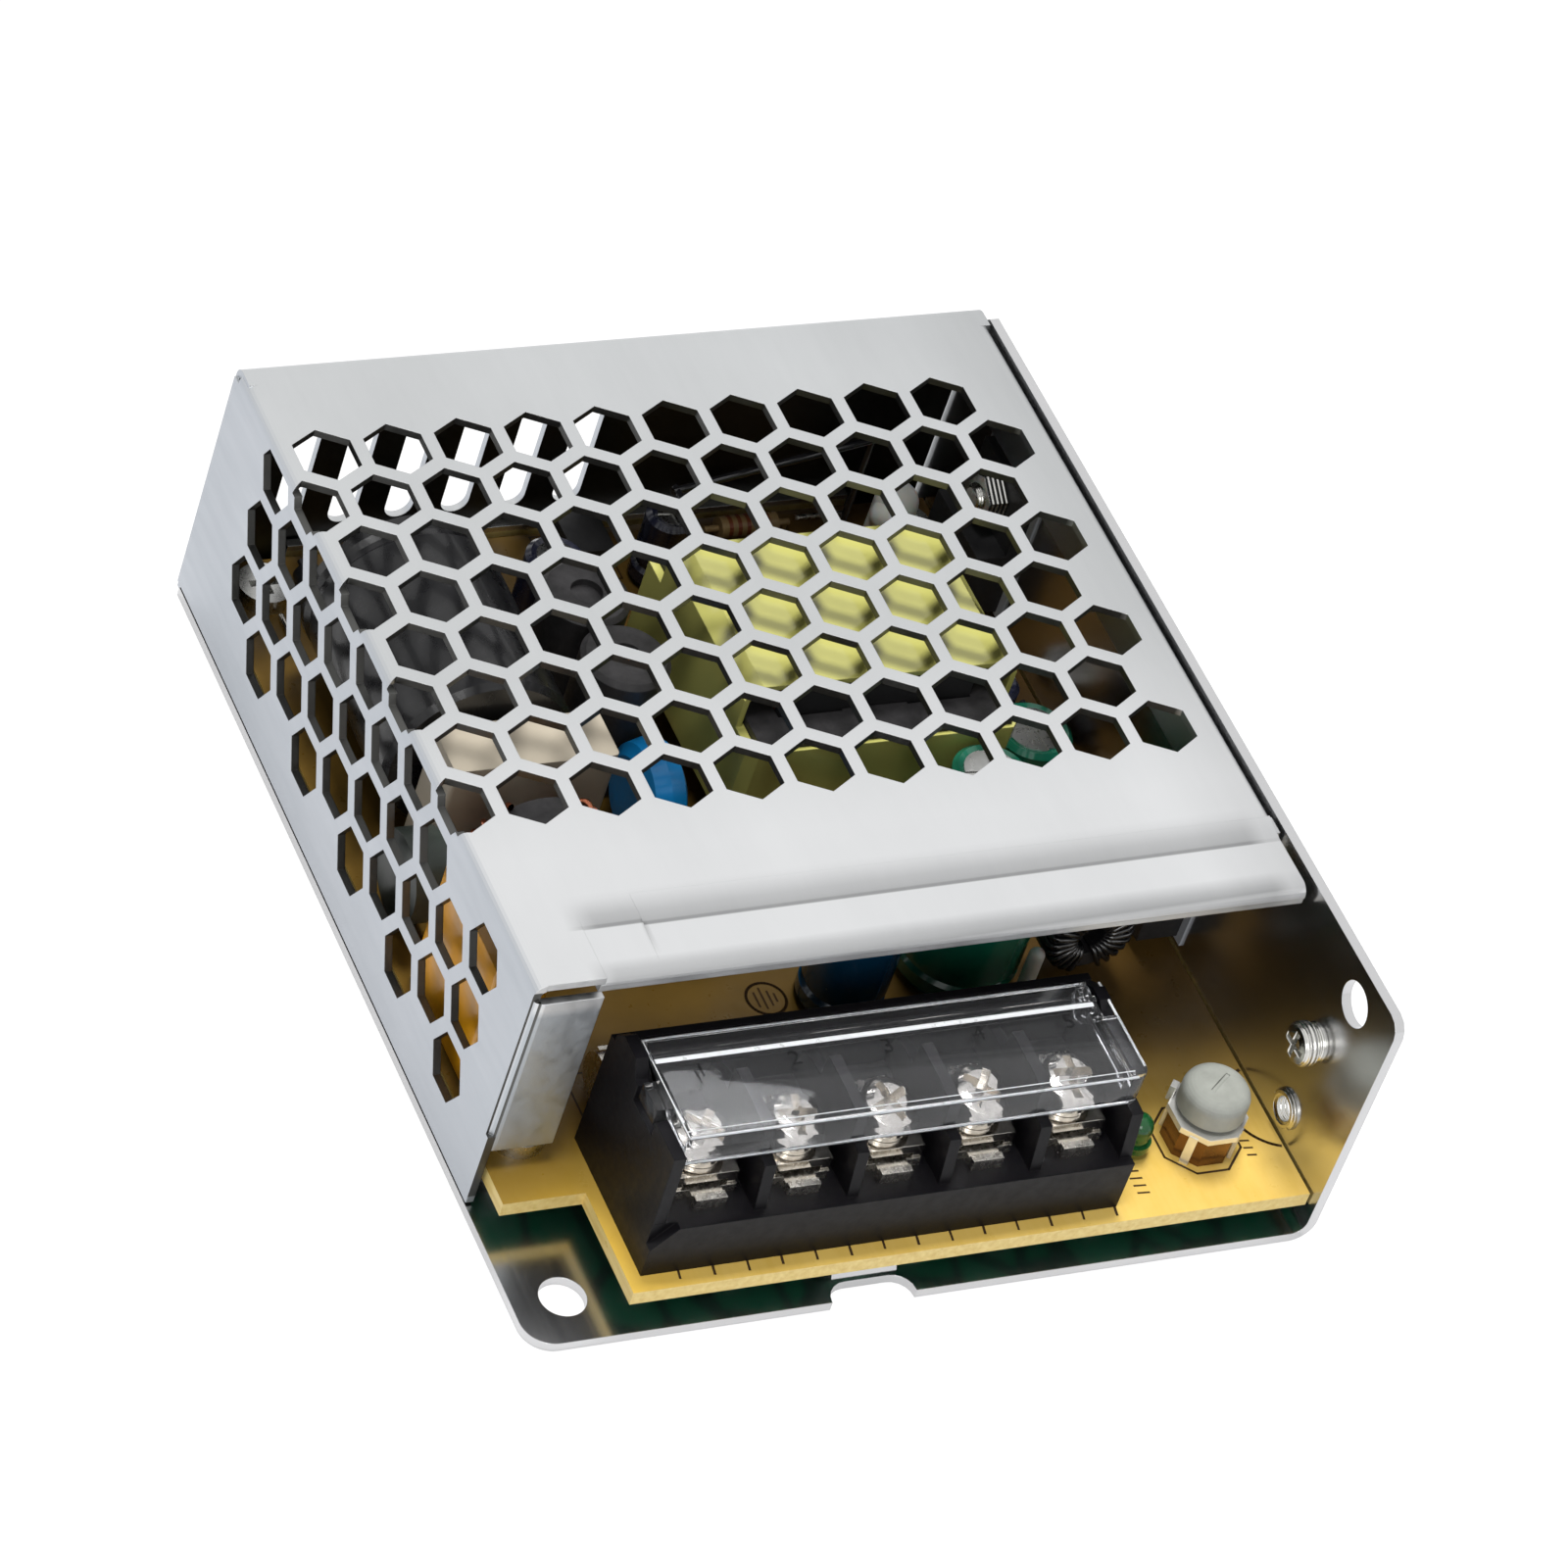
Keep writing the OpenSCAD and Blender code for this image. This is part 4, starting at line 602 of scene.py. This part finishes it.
choke_wire = wound_ring("choke_wire_left", "choke_core", copper, 2.6, 0.34, 120, 120, 10)
wound_ring("choke_wire_right", "choke_core", copper, 2.6, 0.34, -60, 120, 10)
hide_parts("choke_windings")
coil_wire = wound_ring("coil_wire", "coil_core", black_wire, 2.0, 0.3, -75, 330, 24)
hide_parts("coil_winding")


def heading(degrees):
    return Vector((math.cos(math.radians(degrees)), math.sin(math.radians(degrees))))


def strip(edit, points, width, z, closed=False):
    """A flat printed line through the points, all in millimetres."""
    n = len(points)
    for i in range(n if closed else n - 1):
        a = Vector(points[i])
        b = Vector(points[(i + 1) % n])
        along = (b - a).normalized() * width / 2
        side = Vector((-along.y, along.x))
        a = a - along * 0.6
        b = b + along * 0.6
        corners = [a - side, b - side, b + side, a + side]
        edit.faces.new([edit.verts.new((p.x * MM, p.y * MM, z * MM)) for p in corners])


def ring_points(cx, cy, r, n=40):
    return [(cx + r * math.cos(math.tau * i / n), cy + r * math.sin(math.tau * i / n)) for i in range(n + 1)]


def frame_line(edit, low, high, grow_x, grow_y, width, z):
    """A printed rectangle around a box."""
    x0 = low.x / MM - grow_x
    x1 = high.x / MM + grow_x
    y0 = low.y / MM - grow_y
    y1 = high.y / MM + grow_y
    strip(edit, [(x0, y0), (x1, y0), (x1, y1), (x0, y1)], width, z, True)


# Printing on the board: ticks, rings and the outlines of the parts.
board_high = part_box("circuit_board")[1]
block_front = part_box("terminal_housing")[0].y / MM
z = board_high.z / MM + 0.02
edit = bmesh.new()
for i in range(14):
    x = -26.2 + 3.5 * i
    tick = [(x, block_front - 0.05), (x - 0.15, block_front - 0.9 - 0.1 * (i % 3))]
    strip(edit, tick, 0.24 + 0.03 * (i % 2), z)
knob_middle = centre("trimmer_knob").xy
strip(edit, [knob_middle + heading(a) * 4.5 for a in range(22, 382, 45)], 0.24, z, True)
wall_ring = ring_points(41.3, -37.3, 5.2, 72)
strip(edit, [p for p in wall_ring if p[0] < board_high.x / MM - 0.1], 0.34, z)
for y in (-42.6, -43.5, -44.4, -45.3):
    strip(edit, [(22.4, y), (23.6, y - 0.1)], 0.2, z)
for y in (-40.9, -41.8, -42.7):
    strip(edit, [(35.6, y), (36.5, y - 0.1)], 0.2, z)
mark_x, mark_y = -4.6, -16.2
strip(edit, ring_points(mark_x, mark_y, 2.0), 0.3, z)
for dx, dy, half in ((-1.0, 0, 0.9), (-0.3, 0.1, 1.3), (0.4, 0, 0.9), (1.0, 0, 0.5)):
    strip(edit, [(mark_x + dx, mark_y + dy - half), (mark_x + dx, mark_y + dy + half)], 0.22, z)
for node, grow in (("bridge_rectifier", 0.6), ("line_capacitor", 0.6), ("optocoupler", 0.5),
                   ("control_chip", 0.5)):
    frame_line(edit, *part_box(node), grow, grow, 0.2, z)
frame_line(edit, *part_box("fuse_caps"), 0.8, 1.2, 0.2, z)
piece_from(edit, "board_print", ink)


def layer(edit, x, y, z, points, swell=1.0):
    return [edit.verts.new(((x + p.x * swell) * MM, (y + p.y * swell) * MM, z * MM)) for p in points]


def can_top(edit, x, y, top, r):
    """The scored aluminium top of a standing capacitor."""
    score = 0.14
    for a0 in (0, 90, 180, 270):
        shift = heading(a0 + 45) * score
        flat = [shift] + [shift + heading(a) * (r - 0.15) for a in range(a0 + 4, a0 + 87, 8)]
        upper = layer(edit, x, y, top + 0.16, flat)
        lower = layer(edit, x, y, top + 0.02, flat, 1.02)
        edit.faces.new(upper)
        for i in range(len(flat)):
            j = (i + 1) % len(flat)
            edit.faces.new([lower[i], lower[j], upper[j], upper[i]])
    edit.faces.new(layer(edit, x, y, top + 0.03, [heading(a) * r for a in range(0, 360, 10)]))


def islands(node):
    """Boxes of the separate solids of a node, in millimetres."""
    edit = bmesh.new()
    edit.from_mesh(nodes[node].data)
    bmesh.ops.remove_doubles(edit, verts=edit.verts, dist=1e-6)
    seen = set()
    found = []
    for start in edit.verts:
        if start in seen:
            continue
        stack = [start]
        seen.add(start)
        group = []
        while stack:
            vert = stack.pop()
            group.append(vert.co.copy())
            for edge in vert.link_edges:
                other = edge.other_vert(vert)
                if other not in seen:
                    seen.add(other)
                    stack.append(other)
        low = Vector((min(p.x for p in group), min(p.y for p in group), min(p.z for p in group))) / MM
        high = Vector((max(p.x for p in group), max(p.y for p in group), max(p.z for p in group))) / MM
        found.append((low, high))
    edit.free()
    return found


edit = bmesh.new()
for node in ("output_capacitors", "aux_capacitors", "filter_capacitor"):
    for low, high in islands(node):
        can_top(edit, (low.x + high.x) / 2, (low.y + high.y) / 2, high.z - 0.25, (high.x - low.x) / 2 - 1.05)
piece_from(edit, "can_tops", vent_metal)

# Colour bands around the lying resistors.
edit = bmesh.new()
for low, high in islands("resistors"):
    size = high - low
    mid = (low + high) / 2
    lies_along_x = size.x > size.y
    along = Vector((1, 0, 0)) if lies_along_x else Vector((0, 1, 0))
    side = Vector((0, 1, 0)) if lies_along_x else Vector((1, 0, 0))
    r = min(size.x, size.y) / 2 + 0.02
    axis = Vector((mid.x, mid.y, low.z + r))
    around = [side * r * math.cos(math.radians(a)) + Vector((0, 0, 1)) * r * math.sin(math.radians(a))
              for a in range(0, 360, 20)]
    for offset in (-2.2, -1.2, -0.2, 2.0):
        rows = []
        for half in (-0.22, 0.22):
            rows.append([edit.verts.new((axis + along * (offset + half) + p) * MM) for p in around])
        for i in range(len(around)):
            j = (i + 1) % len(around)
            edit.faces.new([rows[0][i], rows[0][j], rows[1][j], rows[1][i]])
piece_from(edit, "resistor_bands", band_ink)

# The clear lid with rounded edges, whitish rails as painted highlights along its edges, and its faint
# moulded numbers.
bevelled_copy("terminal_lid", "lid_clear", clear, 0.14, "lid")
lid_low, lid_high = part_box("terminal_lid")
# painted highlights: whitish rails along the lid's edges and ridge
edge_highlight = Paint("edge highlight", tint(236, 238, 240), 0.35, 0.0, Transmission_Weight=0.35, IOR=1.49)
edge_highlight.mottle(900, 0.05).uneven(900, 0.1)
edge_highlight.grain(1500, 0.01)


def rail(edit, a, b, half, tall):
    """A slim bar with a rounded section from a to b, which run along X or Y."""
    a = Vector(a)
    b = Vector(b)
    along = (b - a).normalized()
    side = Vector((-along.y, along.x, 0))
    section = [(math.cos(math.radians(t)), math.sin(math.radians(t))) for t in range(0, 360, 45)]
    around = [side * half * c + Vector((0, 0, tall * s)) for c, s in section]
    ends = [[edit.verts.new((p + offset) * MM) for offset in around] for p in (a, b)]
    for i in range(8):
        j = (i + 1) % 8
        edit.faces.new([ends[0][i], ends[0][j], ends[1][j], ends[1][i]])
    edit.faces.new(ends[0][::-1])
    edit.faces.new(ends[1])


LID_TOP = 20.9
LID_BACK = -32.0
RIDGE = -34.8
left_end = lid_low.x / MM + 1.9
right_end = lid_high.x / MM
front = lid_low.y / MM
edit = bmesh.new()
for y, z, short, half, tall in (
        (front + 0.12, LID_TOP - 0.1, 1.3, 0.11, 0.11),
        (front + 0.85, LID_TOP - 0.02, 1.4, 0.06, 0.06),
        (front + 0.3, LID_TOP - 3.62, 1.3, 0.16, 0.09),
        (RIDGE, LID_TOP + 0.28, 2.2, 0.28, 0.1),
        (LID_BACK + 0.05, LID_TOP - 0.1, 2.2, 0.1, 0.1)):
    rail(edit, (left_end, y, z), (right_end - short, y, z), half, tall)
for x, z, y0, half, tall in (
        (left_end - 0.05, LID_TOP - 0.04, front + 0.2, 0.07, 0.06),
        (right_end - 0.14, LID_TOP - 0.1, front + 1.3, 0.14, 0.1)):
    rail(edit, (x, y0, z), (x, LID_BACK, z), half, tall)
piece_from(edit, "lid_edge_highlights", edge_highlight, "lid")

NUMBER_HEIGHT = 2.4
NUMBER_LINE = -36.3
for i in range(1, 6):
    name = f"lid_number_{i}"
    curve = bpy.data.curves.new(name, "FONT")
    curve.body = str(i)
    curve.size = NUMBER_HEIGHT * MM
    curve.align_x = "CENTER"
    curve.align_y = "CENTER"
    curve.extrude = 0.03 * MM
    obj = bpy.data.objects.new(name, curve)
    obj.location = (centre(f"terminal_screw_{i}").x * MM, NUMBER_LINE * MM, (LID_TOP + 0.03) * MM)
    scene.collection.objects.link(obj)
    curve.materials.append(clear.mat)
    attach(obj, "lid")

# Floor, light and camera. The floor shows white to the camera and pale in mirrors, and keeps the shadow.
FLOOR_HALF = 3.0
FLOOR_Z = -0.0003
corners = [(x * FLOOR_HALF, y * FLOOR_HALF, FLOOR_Z) for x, y in ((-1, -1), (1, -1), (1, 1), (-1, 1))]
floor_mesh = bpy.data.meshes.new("floor")
floor_mesh.from_pydata(corners, [], [(0, 1, 2, 3)])
floor = bpy.data.objects.new("floor", floor_mesh)
scene.collection.objects.link(floor)
ground = Paint("studio floor", (0.82, 0.82, 0.83, 1), 0.9)
ground.mottle(4, 0.01)
glow = ground.new("ShaderNodeEmission")
glow.inputs["Color"].default_value = (1, 1, 1, 1)
glow.inputs["Strength"].default_value = 1.08
path = ground.new("ShaderNodeLightPath")
mirrored = ground.new("ShaderNodeMath", operation="MULTIPLY")
mirrored.inputs[1].default_value = 0.6
ground.link(path.outputs["Is Glossy Ray"], mirrored.inputs[0])
share = ground.new("ShaderNodeMath", operation="MULTIPLY_ADD")
share.inputs[1].default_value = 0.9
ground.link(path.outputs["Is Camera Ray"], share.inputs[0])
ground.link(mirrored.outputs[0], share.inputs[2])
blend = ground.new("ShaderNodeMixShader")
ground.link(share.outputs[0], blend.inputs[0])
ground.link(ground.bsdf.outputs[0], blend.inputs[1])
ground.link(glow.outputs[0], blend.inputs[2])
surface = next(n for n in ground.tree.nodes if n.type == "OUTPUT_MATERIAL")
ground.link(blend.outputs[0], surface.inputs["Surface"])
floor_mesh.materials.append(ground.mat)

# The sky is white in mirrors and dim on dull surfaces, where the lamps do the work.
SKY_ON_DULL = 0.12
world = bpy.data.worlds.new("studio")
world.use_nodes = True
scene.world = world
tree = world.node_tree
sky = next(n for n in tree.nodes if n.type == "BACKGROUND")
sky.inputs["Color"].default_value = (1, 1, 1, 1)
path = tree.nodes.new("ShaderNodeLightPath")
level = tree.nodes.new("ShaderNodeMath")
level.operation = "MULTIPLY_ADD"
tree.links.new(path.outputs["Is Diffuse Ray"], level.inputs[0])
level.inputs[1].default_value = SKY_ON_DULL - 1.0
level.inputs[2].default_value = 1.0
tree.links.new(level.outputs[0], sky.inputs["Strength"])


LIT_SPOT = (0, -0.02, 0.01)


def lamp(name, place, watts, size, in_mirrors):
    data = bpy.data.lights.new(name, "AREA")
    data.energy = watts
    data.shape = "DISK"
    data.size = size
    obj = bpy.data.objects.new(name, data)
    obj.location = place
    obj.rotation_euler = (Vector(LIT_SPOT) - Vector(place)).to_track_quat("-Z", "Y").to_euler()
    obj.visible_glossy = in_mirrors
    scene.collection.objects.link(obj)


lamp("key", (0.08, 0.24, 0.92), 8.5, 0.3, False)
lamp("top", (-0.24, -0.14, 0.92), 4.0, 0.26, False)
lamp("fill", (-0.35, -0.80, 0.50), 2.4, 0.5, True)

SENSOR_MM = 36.0
LENS_MM = 161.96
CAMERA_PLACE = (-0.29621, -0.39664, 0.47103)
CAMERA_TURN = (0.796977, -0.259483, -0.396880)
cam_data = bpy.data.cameras.new("camera")
cam_data.sensor_width = SENSOR_MM
cam_data.lens = LENS_MM
cam_data.clip_end = 20
camera = bpy.data.objects.new("camera", cam_data)
camera.location = CAMERA_PLACE
camera.rotation_euler = CAMERA_TURN
scene.collection.objects.link(camera)
scene.camera = camera
scene.view_settings.view_transform = "Standard"
